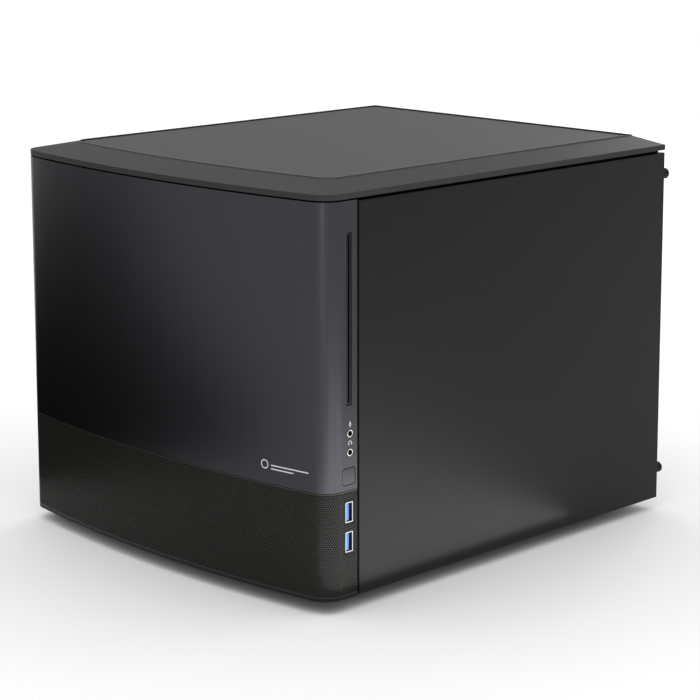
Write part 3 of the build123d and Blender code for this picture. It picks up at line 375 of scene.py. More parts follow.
# ABS from a spark-eroded mould: fine matt grain.
BLACK_ABS = Finish("black_moulded_abs", "0d0d0d", 0.45, ior=1.53, grain_mm=0.45, grain_depth_mm=0.008,
                   gloss=0.18)
COVER_ABS = Finish("black_textured_abs_cover", "303030", 0.38, ior=1.53, grain_mm=0.5, grain_depth_mm=0.006,
                   gloss=0.05)
# Paler, glossier copy of the cover's plastic for the bead round the mesh: its paler colour is a painted
# highlight for the light on the raised edge.
COVER_EDGE_PAINTED_HIGHLIGHT = Finish("black_abs_edge_painted_highlight", "444444", 0.3, ior=1.53, grain_mm=0.5,
                    grain_depth_mm=0.002, gloss=0.6)
# Also colours the dark line on the top mesh's edge, there as painted shade for its groove.
FOAM_AND_GROOVE_SHADE = Finish("black_foam_and_painted_groove_shade", "0d0d0d", 0.95, ior=1.4, grain_mm=0.8, grain_depth_mm=0.1, gloss=0.1)
FAN_PLASTIC = Finish("dark_moulded_pbt", "202124", 0.38, ior=1.57, grain_mm=0.6, grain_depth_mm=0.004)
ROTOR_PLASTIC = Finish("white_moulded_pbt", "d6d6d2", 0.35, ior=1.57, grain_mm=0.9, grain_depth_mm=0.004,
                       tone=0.04)
BLUE_PLASTIC = Finish("blue_moulded_nylon", "1f62b4", 0.3, ior=1.53, grain_mm=0.3, grain_depth_mm=0.003)
RUBBER = Finish("black_moulded_rubber", "1b1b1b", 0.8, ior=1.52, grain_mm=0.4, grain_depth_mm=0.02)
# Near-black matt sheet behind the grille: painted shade for the dark seen through its holes.
GRILLE_SHADE_BACKING = Finish("black_painted_shade_backing", "040404", 0.95, ior=1.53, grain_mm=0.6, grain_depth_mm=0.02,
                      gloss=0.05)
FILTER_NYLON = Finish("black_woven_nylon_filter", "1e1e1f", 0.7, ior=1.53, grain_mm=0.7,
                      grain_depth_mm=0.08)
ZINC = BrushedMetal("zinc_plated_steel", "a9abad", 0.34, metallic=1.0, brushing=Brushing.LENGTHWISE,
                    grain_depth_mm=0.004)
SCREW_ZINC = Finish("zinc_plated_screw_steel", "b4b5b6", 0.3, metallic=1.0, grain_mm=0.5,
                    grain_depth_mm=0.004)
NICKEL = Finish("nickel_plated_steel", "a9a7a1", 0.28, metallic=1.0, grain_mm=0.6, grain_depth_mm=0.002)
CAST_ALUMINIUM = Finish("cast_aluminium", "8f9194", 0.5, metallic=1.0, grain_mm=0.9, grain_depth_mm=0.02)
FIN_ALUMINIUM = BrushedMetal("rolled_aluminium_fins", "c6c8ca", 0.3, metallic=1.0,
                             brushing=Brushing.LENGTHWISE,
                             grain_depth_mm=0.003)
COPPER = BrushedMetal("nickel_washed_copper", "b98263", 0.28, metallic=1.0, brushing=Brushing.ACROSS,
                      grain_depth_mm=0.003)
BRASS = Finish("turned_brass", "b89a4e", 0.3, metallic=1.0, grain_mm=0.4, grain_depth_mm=0.003)
BLACK_BOARD = CircuitBoard("black_solder_mask_board", "121314", 0.35, ior=1.55, track_colour="24272a")
GREEN_BOARD = CircuitBoard("green_solder_mask_board", "12351f", 0.35, ior=1.55, track_colour="1f5a32")
PRINT = Finish("pale_pad_printed_ink", "b9babb", 0.45, ior=1.5, grain_mm=0.3, grain_depth_mm=0.003,
               tone=0.05)
BACKDROP_PAPER = Finish("pale_backdrop_paper", "f4f4f4", 0.9, grain_mm=3.0, grain_depth_mm=0.01, tone=0.01)
FLAG_FELT = Finish("black_flag_felt", "060606", 0.95, grain_mm=2.0, gloss=0.05)

NODE_FINISHES = {
    BLACK_STEEL: ("base_pan", "rear_panel", "front_plate", "top_plate", "motherboard_tray", "psu_case",
                  "drive_cage", "thumbscrew_lower_left", "thumbscrew_upper_left",
                  "thumbscrew_lower_right", "thumbscrew_upper_right"),
    BLACK_ABS: ("usb_surround", "slot_trim", "audio_jacks", "feet", "psu_inlet", "rocker_housing",
                "psu_rocker", "board_sockets"),
    TOP_SHEET: ("top_mesh",),
    GREEN_BOARD: ("io_board", "psu_board", "memory_modules"),
    BLACK_BOARD: ("motherboard",),
    NICKEL: ("usb_shells", "psu_fan_guard", "board_ports", "processor"),
    BLUE_PLASTIC: ("usb_tongues",),
    FILTER_NYLON: ("front_filters", "psu_filter"),
    RUBBER: ("foot_pads", "drive_grommets"),
    FAN_PLASTIC: ("fan_frames",),
    ROTOR_PLASTIC: ("fan_rotor_front_left", "fan_rotor_front_right", "fan_rotor_rear_left",
                    "fan_rotor_rear_right", "fan_rotor_psu", "fan_rotor_cooler"),
    SCREW_ZINC: ("fan_screws", "case_screws"),
    ZINC: ("io_shield", "processor_socket", "slot_covers", "optical_drive", "optical_bracket"),
    CAST_ALUMINIUM: ("hard_drives", "solid_state_drive", "chipset_heatsink"),
    FIN_ALUMINIUM: ("cooler_fins",),
    COPPER: ("cooler_base",),
    BRASS: ("standoffs",),
}


# CAD nodes that get rounded edges: finish, material slot and width of the edges in mm.
EASED_NODES = {
    "brushed_face": (BRUSHED_FRONT, "brushed_black", 0.25),
    "top_cover": (COVER_ABS, "black_plastic", 0.6),
    "front_bezel": (BLACK_ABS, "black_plastic", 0.3),
    "power_button": (BRUSHED_FRONT, "black_plastic", 0.2),
    "right_side_panel": (BLACK_STEEL, "black_steel", 0.35),
    "left_side_panel": (BLACK_STEEL, "black_steel", 0.35),
}

BODY_OF = {node: body for body, nodes in frame["record"]["behaviour"]["bodies"].items() for node in nodes}


# ---- Making pieces


def finish_piece(shape: Shape, name: str, finish: Finish, body: str) -> Piece:
    """Turns a bmesh into a piece that rides on a body.

    Args:
        shape: The shape, in its place. It is freed.
        name: The piece's name.
        finish: What it is made of.
        body: The body that carries it.

    Returns:
        The new object.
    """
    mesh = bpy.data.meshes.new(name)
    shape.to_mesh(mesh)
    shape.free()
    piece = bpy.data.objects.new(name, mesh)
    bpy.context.scene.collection.objects.link(piece)
    piece.data.materials.append(finish.material())
    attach(piece, body)
    return piece


def smooth(piece: Piece, angle: float = 30.0) -> None:
    """Shades a piece smoothly except over sharp edges.

    Args:
        piece: The piece.
        angle: The least turn that stays sharp, in degrees.
    """
    shape = bmesh.new()
    shape.from_mesh(piece.data)
    for face in shape.faces:
        face.smooth = True
    for edge in shape.edges:
        edge.smooth = len(edge.link_faces) == 2 and edge.calc_face_angle(0.0) < math.radians(angle)
    shape.to_mesh(piece.data)
    shape.free()


def ease_edges(piece: Piece, width_mm: float, segments: int = 2, angle: float = 30.0) -> None:
    """Rounds a piece's sharp edges with a modifier.

    Args:
        piece: The piece.
        width_mm: Width of the rounded edge.
        segments: Steps across it.
        angle: The least turn that is rounded, in degrees.
    """
    bevel = piece.modifiers.new("eased_edges", "BEVEL")
    bevel.width = width_mm * MM
    bevel.segments = segments
    bevel.limit_method = "ANGLE"
    bevel.angle_limit = math.radians(angle)
    bevel.harden_normals = True


def block(shape: Shape, low: Vector, high: Vector) -> list[Vert]:
    """Adds a box between two corners.

    Args:
        shape: The bmesh that gets the box.
        low: Its lowest corner.
        high: Its highest corner.

    Returns:
        The box's vertices.
    """
    low, high = Vector(low), Vector(high)
    place = Matrix.Translation((low + high) / 2) @ Matrix.Diagonal((*(high - low), 1.0))
    return bmesh.ops.create_cube(shape, size=1.0, matrix=place)["verts"]


def long_edges(verts: list[Vert]) -> list[bmesh.types.BMEdge]:
    """Finds the edges of a thin bar that run along x.

    Args:
        verts: The bar's vertices.

    Returns:
        Those edges, each once.
    """
    return list({edge for vert in verts for edge in vert.link_edges
                 if abs(edge.verts[0].co.x - edge.verts[1].co.x) > BAR_WIDTH})


def eased_copy(node: str, finish: Finish, width_mm: float) -> Piece:
    """Replaces a CAD node by a merged copy with rounded edges and smooth curves.

    Args:
        node: The CAD node.
        finish: What it is made of.
        width_mm: Width of the rounded edges.

    Returns:
        The new piece.
    """
    shape = bmesh.new()
    shape.from_mesh(frame["nodes"][node].data)
    bmesh.ops.remove_doubles(shape, verts=shape.verts, dist=MERGE_DISTANCE)
    bmesh.ops.dissolve_limit(shape, angle_limit=FLAT_ANGLE, verts=shape.verts, edges=shape.edges,
                             delimit={"NORMAL"})
    piece = finish_piece(shape, f"{node}_shell", finish, BODY_OF[node])
    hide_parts(node)
    smooth(piece)
    ease_edges(piece, width_mm)
    return piece


# ---- The bowed front


@dataclass
class FrontOutline:
    """Plan line of the front, measured from the right wing's rear edge round to the left wing's.

    Attributes:
        half: Half the front's width.
        apex: y of its foremost point.
        back: y of the wings' rear edges.
        bow: Radius of the bow.
        corner: Radius of the bends beside it.
    """

    half: float
    apex: float
    back: float
    bow: float = 1020 * MM
    corner: float = 17 * MM

    def __post_init__(self) -> None:
        """Works out where the wing, the corner and the bow meet."""
        self.bow_y = self.apex + self.bow
        self.side_y = self.bow_y - math.sqrt((self.bow - self.corner) ** 2 - (self.half - self.corner) ** 2)
        self.lean = math.atan2(self.bow_y - self.side_y, self.half - self.corner)
        self.wing = self.back - self.side_y
        self.turn = self.corner * self.lean
        self.half_bow = self.bow * (math.pi / 2 - self.lean)
        self.length = 2 * (self.wing + self.turn + self.half_bow)

    def at(self, along: float, proud: float = 0.0) -> Vector:
        """Finds a point on the outline.

        Args:
            along: Distance along the line from the right wing's rear edge.
            proud: Distance outwards from it.

        Returns:
            The point, at z = 0.
        """
        side = 1.0 if along <= self.length / 2 else -1.0
        run = min(along, self.length - along)
        if run <= self.wing:
            return Vector((side * (self.half + proud), self.back - run, 0.0))
        if run <= self.wing + self.turn:
            angle = (run - self.wing) / self.corner
            centre, radius = (self.half - self.corner, self.side_y), self.corner
        else:
            angle = self.lean + (run - self.wing - self.turn) / self.bow
            centre, radius = (0.0, self.bow_y), self.bow
        reach = radius + proud
        return Vector((side * (centre[0] + reach * math.cos(angle)),
                       centre[1] - reach * math.sin(angle), 0.0))

    def along_at_x(self, x: float) -> float:
        """Returns the distance along the line of a point of the bow, from its x."""
        angle = math.asin(-x / self.bow)
        return self.length / 2 + self.bow * angle

    def wrap(self, verts: list) -> None:
        """Bends a flat shape round the front.

        Args:
            verts: Vertices with x along the outline, y outwards and z up.
        """
        for vert in verts:
            point = self.at(vert.co.x, vert.co.y)
            vert.co = (point.x, point.y, vert.co.z)


@dataclass
class Grille:
    """Perforated steel band round the foot of the front, with its holes cut.

    Attributes:
        outline: The line it follows.
        pitch: Distance between holes in a row.
        hole: Distance from a hole's centre to its flats.
        sheet: Thickness of the steel.
        plain_border: Width of the bars along its edges.
        border_rise: How far the bars stand out.
        facet: Longest straight run of a bar on the bow.
        collar_height: Height of a USB socket's collar.
        seam: Gap round a collar.
        weld: Cells' points nearer than this are one.
        backing_gap: Gap between the steel and the near-black backing, a painted shade behind the holes.
        backing_steps: Facets of each half of that backing.
    """

    outline: FrontOutline
    pitch: float = 1.785 * MM
    hole: float = 0.60 * MM
    sheet: float = 0.8 * MM
    plain_border: float = 0.7 * MM
    border_rise: float = 0.03 * MM
    facet: float = 2.5 * MM
    collar_height: float = 17.0 * MM
    seam: float = 0.2 * MM
    weld: float = 0.01 * MM
    backing_gap: float = 0.04 * MM
    backing_steps: int = 120

    def cell(self) -> Shape:
        """Makes two staggered cells, each a hexagon with a six-sided hole and the hole's wall."""
        shape = bmesh.new()
        row = self.pitch * math.sqrt(3) / 2
        for centre in (Vector((0, 0, 0)), Vector((self.pitch / 2, 0, row))):
            place = Matrix.Translation(centre) @ STOOD_UP @ Matrix.Rotation(math.pi / 6, 4, "Z")
            hexagon = bmesh.ops.create_circle(shape, cap_ends=True, segments=6,
                                              radius=self.pitch / math.sqrt(3), matrix=place)
            face = hexagon["verts"][0].link_faces[0]
            apothem = self.pitch / 2
            bmesh.ops.inset_individual(shape, faces=[face], thickness=apothem - self.hole)
            rim = list(face.edges)
            bmesh.ops.delete(shape, geom=[face], context="FACES_ONLY")
            wall = bmesh.ops.extrude_edge_only(shape, edges=rim)["geom"]
            deep = [part for part in wall if isinstance(part, Vert)]
            bmesh.ops.translate(shape, verts=deep, vec=(0.0, -self.sheet, 0.0))
        return shape

    def flat_panel(self, start: float, stop: float, low: float, high: float) -> Shape:
        """Repeats the cells over a rectangle and trims them to it.

        Args:
            start: Left end along the outline.
            stop: Right end along the outline.
            low: Lower edge.
            high: Upper edge.

        Returns:
            The flat perforated panel, with y outwards.
        """
        seed = bpy.data.meshes.new("grille_cells")
        cells = self.cell()
        cells.to_mesh(seed)
        cells.free()
        holder = bpy.data.objects.new("grille_cells", seed)
        bpy.context.scene.collection.objects.link(holder)
        row = self.pitch * math.sqrt(3)
        for axis, step, span in ((0, self.pitch, stop - start), (2, row, high - low)):
            array = holder.modifiers.new(f"repeat_{axis}", "ARRAY")
            array.use_relative_offset = False
            array.use_constant_offset = True
            array.constant_offset_displace = [step if i == axis else 0.0 for i in range(3)]
            array.count = math.ceil(span / step) + 2
        graph = bpy.context.evaluated_depsgraph_get()
        shape = bmesh.new()
        shape.from_object(holder, graph)
        bpy.data.objects.remove(holder)
        bpy.data.meshes.remove(seed)
        bmesh.ops.translate(shape, verts=shape.verts, vec=(start - self.pitch / 2, 0.0, low - row / 2))
        bmesh.ops.remove_doubles(shape, verts=shape.verts, dist=self.weld)
        for point, away in (((start, 0, 0), (-1, 0, 0)), ((stop, 0, 0), (1, 0, 0)),
                            ((0, 0, low), (0, 0, -1)), ((0, 0, high), (0, 0, 1))):
            self.cut(shape, point, away, True)
        return shape

    def cut(self, shape: Shape, point: tuple, away: tuple, clear: bool) -> None:
        """Cuts a shape with a plane.

        Args:
            shape: The shape.
            point: A point on the plane.
            away: The plane's normal.
            clear: Whether what lies on the normal's side goes.
        """
        every = [*shape.verts, *shape.edges, *shape.faces]
        bmesh.ops.bisect_plane(shape, geom=every, dist=ON_PLANE, plane_co=point, plane_no=away,
                               clear_outer=clear)

    def clear_window(self, shape: Shape, low: Vector, high: Vector) -> None:
        """Cuts a rectangular window.

        Args:
            shape: The flat panel.
            low: The window's corner at its least x and z.
            high: The window's corner at its greatest x and z.
        """
        for point, away in ((low, (1, 0, 0)), (high, (1, 0, 0)), (low, (0, 0, 1)), (high, (0, 0, 1))):
            self.cut(shape, point, away, False)
        inside = []
        for face in shape.faces:
            middle = face.calc_center_median()
            if low.x < middle.x < high.x and low.z < middle.z < high.z:
                inside.append(face)
        bmesh.ops.delete(shape, geom=inside, context="FACES")

    def border(self, shape: Shape, start: float, stop: float, low: float, high: float) -> None:
        """Adds a plain bar along the outline.

        Args:
            shape: The bmesh that gets the bar.
            start: Its first end along the outline.
            stop: Its other end.
            low: Its lower edge.
            high: Its upper edge.
        """
        verts = block(shape, (start, -self.sheet, low), (stop, self.border_rise, high))
        cuts = int((stop - start) / self.facet)
        if cuts:
            bmesh.ops.subdivide_edges(shape, edges=long_edges(verts), cuts=cuts, use_grid_fill=False)

    def build(self) -> None:
        """Builds the band in two halves, with plain borders along its edges."""
        low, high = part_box("front_grille")
        window_low, window_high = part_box("usb_surround")
        outline = self.outline
        middle = outline.length / 2
        for name, start, stop in (("right", 0.0, middle), ("left", middle, outline.length)):
            edge = self.plain_border
            panel = self.flat_panel(start, stop, low.z + edge, high.z - edge)
            if name == "right":
                near = outline.back - window_high.y - self.seam
                far = outline.back - window_low.y + self.seam
                for foot in (window_low.z, window_high.z - self.collar_height):
                    self.clear_window(panel, Vector((near, 0, foot - self.seam)),
                                      Vector((far, 0, foot + self.collar_height + self.seam)))
            self.border(panel, start, stop, low.z, low.z + edge)
            self.border(panel, start, stop, high.z - edge, high.z)
            outline.wrap(panel.verts)
            for face in panel.faces:
                face.smooth = False
            piece = finish_piece(panel, f"grille_{name}", GRILLE_STEEL, BODY_OF["front_grille"])
            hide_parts("front_grille")
            LOG.info("grille half %s: %d faces", name, len(piece.data.polygons))
            # A near-black sheet right behind the steel: painted shade for the dark seen through the holes.
            self.shade_backing(name, start, stop, low.z + edge, high.z - edge, (window_low, window_high))

    def shade_backing(self, name: str, start: float, stop: float, low: float, high: float,
              ports: tuple[Vector, Vector]) -> None:
        """Lays a thin near-black sheet that backs the grille, cut out for the ports: painted shade for the
        dark seen through the holes.

        Args:
            name: Which half of the front it is on.
            start: Its first end along the outline.
            stop: Its other end.
            low: Its lower edge.
            high: Its upper edge.
            ports: Lowest and highest corner of the sockets' collars.
        """
        shape = bmesh.new()
        middle = Matrix.Translation(((start + stop) / 2, 0, (low + high) / 2))
        scale = Matrix.Diagonal(((stop - start) / 2, (high - low) / 2, 1, 1))
        bmesh.ops.create_grid(shape, x_segments=self.backing_steps, y_segments=2, size=1.0,
                              matrix=middle @ STOOD_UP @ scale)
        if name == "right":
            near, far = self.outline.back - ports[1].y, self.outline.back - ports[0].y
            self.clear_window(shape, Vector((near, 0, ports[0].z)), Vector((far, 0, ports[1].z)))
        bmesh.ops.translate(shape, verts=shape.verts, vec=(0, -self.sheet - self.backing_gap, 0))
        self.outline.wrap(shape.verts)
        finish_piece(shape, f"grille_shade_backing_{name}", GRILLE_SHADE_BACKING, BODY_OF["front_grille"])


@dataclass
class WingMarks:
    """Jack rings and the printed signs beside them on the right wing.

    Attributes:
        ring_outer: Outer radius of a ring.
        ring_inner: Inner radius of a ring.
        ring_sunk: Depth of its section's middle under the wing's face.
        ring_flat: Thickness of its section, as a share of its width.
        ring_section: Corners of a ring's section.
        ring_steps: Steps round a ring.
        ink: Thickness of the print.
        stroke: Width of a printed arc.
        arc_steps: Steps along a printed arc.
        sign_rise: Height of a sign above its jack.
        headband: Radius of the headphones' band.
        ear: Bar of each ear pad.
        capsule: Bar of the microphone's head.
        cradle: Radius and height of the arc under it.
        stem: Bar of its stem.
        foot: Bar of its foot.
    """

    ring_outer: float = 2.95 * MM
    ring_inner: float = 1.8 * MM
    ring_sunk: float = 0.3 * MM
    ring_flat: float = 0.75
    ring_section: int = 10
    ring_steps: int = 36
    ink: float = 0.05 * MM
    stroke: float = 0.42 * MM
    arc_steps: int = 14
    sign_rise: float = 6.9 * MM
    headband: float = 1.35 * MM
    ear: tuple[float, float, float] = (0.35 * MM, -1.3 * MM, 0.1 * MM)
    capsule: tuple[float, float, float] = (0.45 * MM, -0.2 * MM, 1.6 * MM)
    cradle: tuple[float, float] = (1.05 * MM, 0.1 * MM)
    stem: tuple[float, float, float] = (0.2 * MM, -1.7 * MM, -1.0 * MM)
    foot: tuple[float, float, float] = (0.8 * MM, -2.0 * MM, -1.7 * MM)

    def __post_init__(self) -> None:
        """Finds the jacks in the frame."""
        low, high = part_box("audio_jacks")
        radius = (high.y - low.y) / 2
        self.jack_y = (low.y + high.y) / 2
        self.jack_heights = [high.z - radius, low.z + radius]
        self.wing_x = high.x

    def ring(self, z: float, name: str) -> None:
        """Spins a rounded nickel ring about a jack.

        Args:
            z: Height of the jack.
            name: Name of the ring.
        """
        shape = bmesh.new()
        start, width = self.wing_x - self.ring_sunk, self.ring_outer - self.ring_inner
        middle = Matrix.Translation((start, self.jack_y, z + self.ring_inner + width / 2))
        profile = bmesh.ops.create_circle(shape, segments=self.ring_section, radius=width / 2,
                                          matrix=middle @ Matrix.Rotation(math.pi / 2, 4, "X"))
        bmesh.ops.scale(shape, verts=profile["verts"], vec=(self.ring_flat, 1, 1),
                        space=Matrix.Translation((-start, 0, 0)))
        loop = list({edge for vert in profile["verts"] for edge in vert.link_edges})
        bmesh.ops.spin(shape, geom=loop + profile["verts"], cent=(start, self.jack_y, z), axis=(1, 0, 0),
                       angle=math.tau, steps=self.ring_steps, use_merge=True)
        bmesh.ops.recalc_face_normals(shape, faces=shape.faces)
        piece = finish_piece(shape, name, NICKEL, BODY_OF["audio_jacks"])
        smooth(piece, angle=60.0)

    def arc(self, shape: Shape, centre: tuple[float, float], radius: float, start: float,
            sweep: float) -> None:
        """Adds a flat printed arc.

        Args:
            shape: The bmesh that gets it.
            centre: Its centre, along y and z.
            radius: Its mean radius.
            start: Its first angle, from the y axis towards z.
            sweep: Its angle.
        """
        middle = Vector((self.wing_x + self.ink, centre[0], centre[1]))
        way = Vector((0, math.cos(start), math.sin(start)))
        ends = [shape.verts.new(middle + way * (radius + side * self.stroke / 2)) for side in (-1, 1)]
        edge = shape.edges.new(ends)
        bmesh.ops.spin(shape, geom=[*ends, edge], cent=middle, axis=(1, 0, 0), angle=sweep,
                       steps=self.arc_steps)

    def bar(self, shape: Shape, y: float, z: float, bar: tuple[float, float, float]) -> None:
        """Adds a flat printed bar.

        Args:
            shape: The bmesh that gets it.
            y: y of the bar's middle line.
            z: Height of the sign's middle.
            bar: Half its width, its lower edge and its upper edge.
        """
        half, low, high = bar
        block(shape, (self.wing_x, y - half, z + low), (self.wing_x + self.ink, y + half, z + high))

    def headphone_sign(self, z: float) -> None:
        """Prints a pair of headphones.

        Args:
            z: Height of the sign's middle.
        """
        shape = bmesh.new()
        self.arc(shape, (self.jack_y, z), self.headband, 0.0, math.pi)
        for side in (-1, 1):
            self.bar(shape, self.jack_y + side * self.headband, z, self.ear)
        finish_piece(shape, "headphone_sign", PRINT, BODY_OF["brushed_face"])

    def microphone_sign(self, z: float) -> None:
        """Prints a microphone on its stand.

        Args:
            z: Height of the sign's middle.
        """
        shape = bmesh.new()
        radius, rise = self.cradle
        self.bar(shape, self.jack_y, z, self.capsule)
        self.arc(shape, (self.jack_y, z + rise), radius, math.pi, math.pi)
        self.bar(shape, self.jack_y, z, self.stem)
        self.bar(shape, self.jack_y, z, self.foot)
        finish_piece(shape, "microphone_sign", PRINT, BODY_OF["brushed_face"])

    def build(self) -> None:
        """Builds both rings and both signs."""
        for z, name in zip(self.jack_heights, ("upper_jack_ring", "lower_jack_ring")):
            self.ring(z, name)
        self.microphone_sign(self.jack_heights[0] + self.sign_rise)
        self.headphone_sign(self.jack_heights[1] + self.sign_rise)


@dataclass
class CoverTrim:
    """Foam strip that closes the gap under the top cover, and the lines round its mesh: a dark line of
    painted shade for the groove at its edge, and a raised bead whose paler colour is a painted highlight.

    Attributes:
        inset: Distance of the foam from the cover's edge.
        strip: Thickness of the foam.
        lift: Gap between the panels and the foam.
        gap: Height of the gap under the cover.
        overlap: How far the foam reaches into the cover.
        level: Least upward part of a normal on the mesh's top.
        groove_start: Start of the dark line, from the mesh's edge.
        groove: Where the dark line ends.
        groove_shade_film: Thickness of the dark line.
        bead: Width and height of the bead.
        bead_gap: Gap between the mesh and the bead.
        bead_rise: How far the bead stands out of the cover.
    """

    inset: float = 4.0 * MM
    strip: float = 0.98 * MM
    lift: float = 0.2 * MM
    gap: float = 2.2 * MM
    overlap: float = 1.0 * MM
    level: float = 0.9
    groove_start: float = 0.1 * MM
    groove: float = 1.6 * MM
    groove_shade_film: float = 0.03 * MM
    bead: float = 0.9 * MM
    bead_gap: float = 0.4 * MM
    bead_rise: float = 0.4 * MM

    def foam(self) -> None:
        """Lays foam strips along both sides and the rear, over the tops of the panels."""
        low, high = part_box("right_side_panel")
        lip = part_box("top_cover")[1]
        foot, top = high.z + self.lift, high.z + self.gap + self.overlap
        outer, back = lip.x - self.inset, high.y - self.inset
        shape = bmesh.new()
        for side in (-1, 1):
            near, far = sorted((side * outer, side * (outer - self.strip)))
            block(shape, (near, low.y + self.overlap, foot), (far, back, top))
        block(shape, (self.strip - outer, back - self.strip, foot), (outer - self.strip, back, top))
        finish_piece(shape, "cover_foam_strip", FOAM_AND_GROOVE_SHADE, BODY_OF["top_cover"])

    def outline_ring(self, near: float, far: float, z: float, depth: float) -> Shape:
        """Builds a flat ring that follows the mesh sheet's edge.

        Args:
            near: Its first edge, inwards from the sheet's edge.
            far: Its other edge, inwards from the sheet's edge.
            z: Height of its top.
            depth: Its thickness.

        Returns:
            The ring.
        """
        shape = bmesh.new()
        shape.from_mesh(frame["nodes"]["top_mesh"].data)
        bmesh.ops.remove_doubles(shape, verts=shape.verts, dist=MERGE_DISTANCE)
        rest = [face for face in shape.faces if face.normal.z < self.level]
        bmesh.ops.delete(shape, geom=rest, context="FACES")
        sheet = bmesh.ops.dissolve_faces(shape, faces=list(shape.faces))["region"][0]
        bmesh.ops.inset_individual(shape, faces=[sheet], thickness=near, use_even_offset=True)
        rim = [face for face in shape.faces if face is not sheet]
        bmesh.ops.delete(shape, geom=rim, context="FACES")
        bmesh.ops.inset_individual(shape, faces=[sheet], thickness=far - near, use_even_offset=True)
        bmesh.ops.delete(shape, geom=[sheet], context="FACES_ONLY")
        for vert in shape.verts:
            vert.co.z = z
        solid = bmesh.ops.extrude_face_region(shape, geom=list(shape.faces))["geom"]
        bmesh.ops.translate(shape, verts=[part for part in solid if isinstance(part, Vert)],
                            vec=(0, 0, -depth))
        bmesh.ops.recalc_face_normals(shape, faces=shape.faces)
        return shape

    def build(self) -> None:
        """Builds the foam, the dark line of painted shade on the mesh's edge, and the bead round it, whose
        paler colour is a painted highlight.
        """
        self.foam()
        sheet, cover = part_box("top_mesh")[1].z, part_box("top_cover")[1].z
        # A thin near-black film on the mesh's edge: painted shade for the dark of the groove.
        groove = self.outline_ring(self.groove_start, self.groove, sheet + self.groove_shade_film, self.groove_shade_film)
        finish_piece(groove, "mesh_groove_painted_shade", FOAM_AND_GROOVE_SHADE, BODY_OF["top_mesh"])
        # The bead stands out of the cover; its paler colour is a painted highlight.
        bead = self.outline_ring(-self.bead_gap - self.bead, -self.bead_gap, cover + self.bead_rise,
                                 self.bead)
        smooth(finish_piece(bead, "mesh_bead_painted_highlight", COVER_EDGE_PAINTED_HIGHLIGHT, BODY_OF["top_cover"]))


@dataclass
class FrontMark:
    """Plain generic mark on the brushed front: a ring and two thin rules, with no letters.

    Attributes:
        outline: The line of the front.
        x: x of the ring's centre.
        z: Height of the ring's centre.
        ring: Outer radius of the ring.
        ring_steps: Corners of the ring.
        rule: Length of the upper rule.
        short: Length of the lower rule, as a share of it.
        drop: Distance between the rules.
        gap: Gap between the ring and the rules.
        cuts: Cuts along a rule, so that it bends.
        stroke: Width of all lines.
        proud: How far the mark stands out of the front.
    """

    outline: FrontOutline
    x: float = 116 * MM
    z: float = 103 * MM
    ring: float = 3.4 * MM
    ring_steps: int = 40
    rule: float = 34 * MM
    short: float = 0.6
    drop: float = 2.6 * MM
    gap: float = 2.5 * MM
    cuts: int = 12
    stroke: float = 0.8 * MM
    proud: float = 0.12 * MM

    def build(self) -> None:
        """Builds the mark and bends it round the bow."""
        shape = bmesh.new()
        centre = self.outline.along_at_x(self.x)
        disc = bmesh.ops.create_circle(shape, cap_ends=True, segments=self.ring_steps, radius=self.ring,
                                       matrix=Matrix.Translation((centre, self.proud, self.z)) @ STOOD_UP)
        face = disc["verts"][0].link_faces[0]
        bmesh.ops.inset_individual(shape, faces=[face], thickness=self.stroke)
        bmesh.ops.delete(shape, geom=[face], context="FACES_ONLY")
        reach = centre - self.ring - self.gap
        for height, length in ((self.z, self.rule), (self.z - self.drop, self.rule * self.short)):
            verts = block(shape, (reach - length, 0.0, height - self.stroke / 2),
                          (reach, self.proud, height + self.stroke / 2))
            bmesh.ops.subdivide_edges(shape, edges=long_edges(verts), cuts=self.cuts)
        self.outline.wrap(shape.verts)
        finish_piece(shape, "front_mark", PRINT, BODY_OF["brushed_face"])


# ---- Setting


@dataclass(frozen=True)
class Lamp:
    """Soft square lamp that the camera does not see.

    Attributes:
        name: Its name, as the camera sees its place.
        place: Where it stands.
        target: What it faces.
        size: Its side in metres.
        power: Its power in watts.
    """

    name: str
    place: tuple[float, float, float]
    target: tuple[float, float, float]
    size: float
    power: float

    def build(self) -> None:
        """Adds the lamp."""
        data = bpy.data.lights.new(self.name, "AREA")
        data.size = self.size
        data.energy = self.power
        lamp = bpy.data.objects.new(self.name, data)
        lamp.visible_camera = False
        lamp.location = self.place
        way = Vector(self.target) - Vector(self.place)
        lamp.rotation_euler = way.to_track_quat("-Z", "Y").to_euler()
        bpy.context.scene.collection.objects.link(lamp)


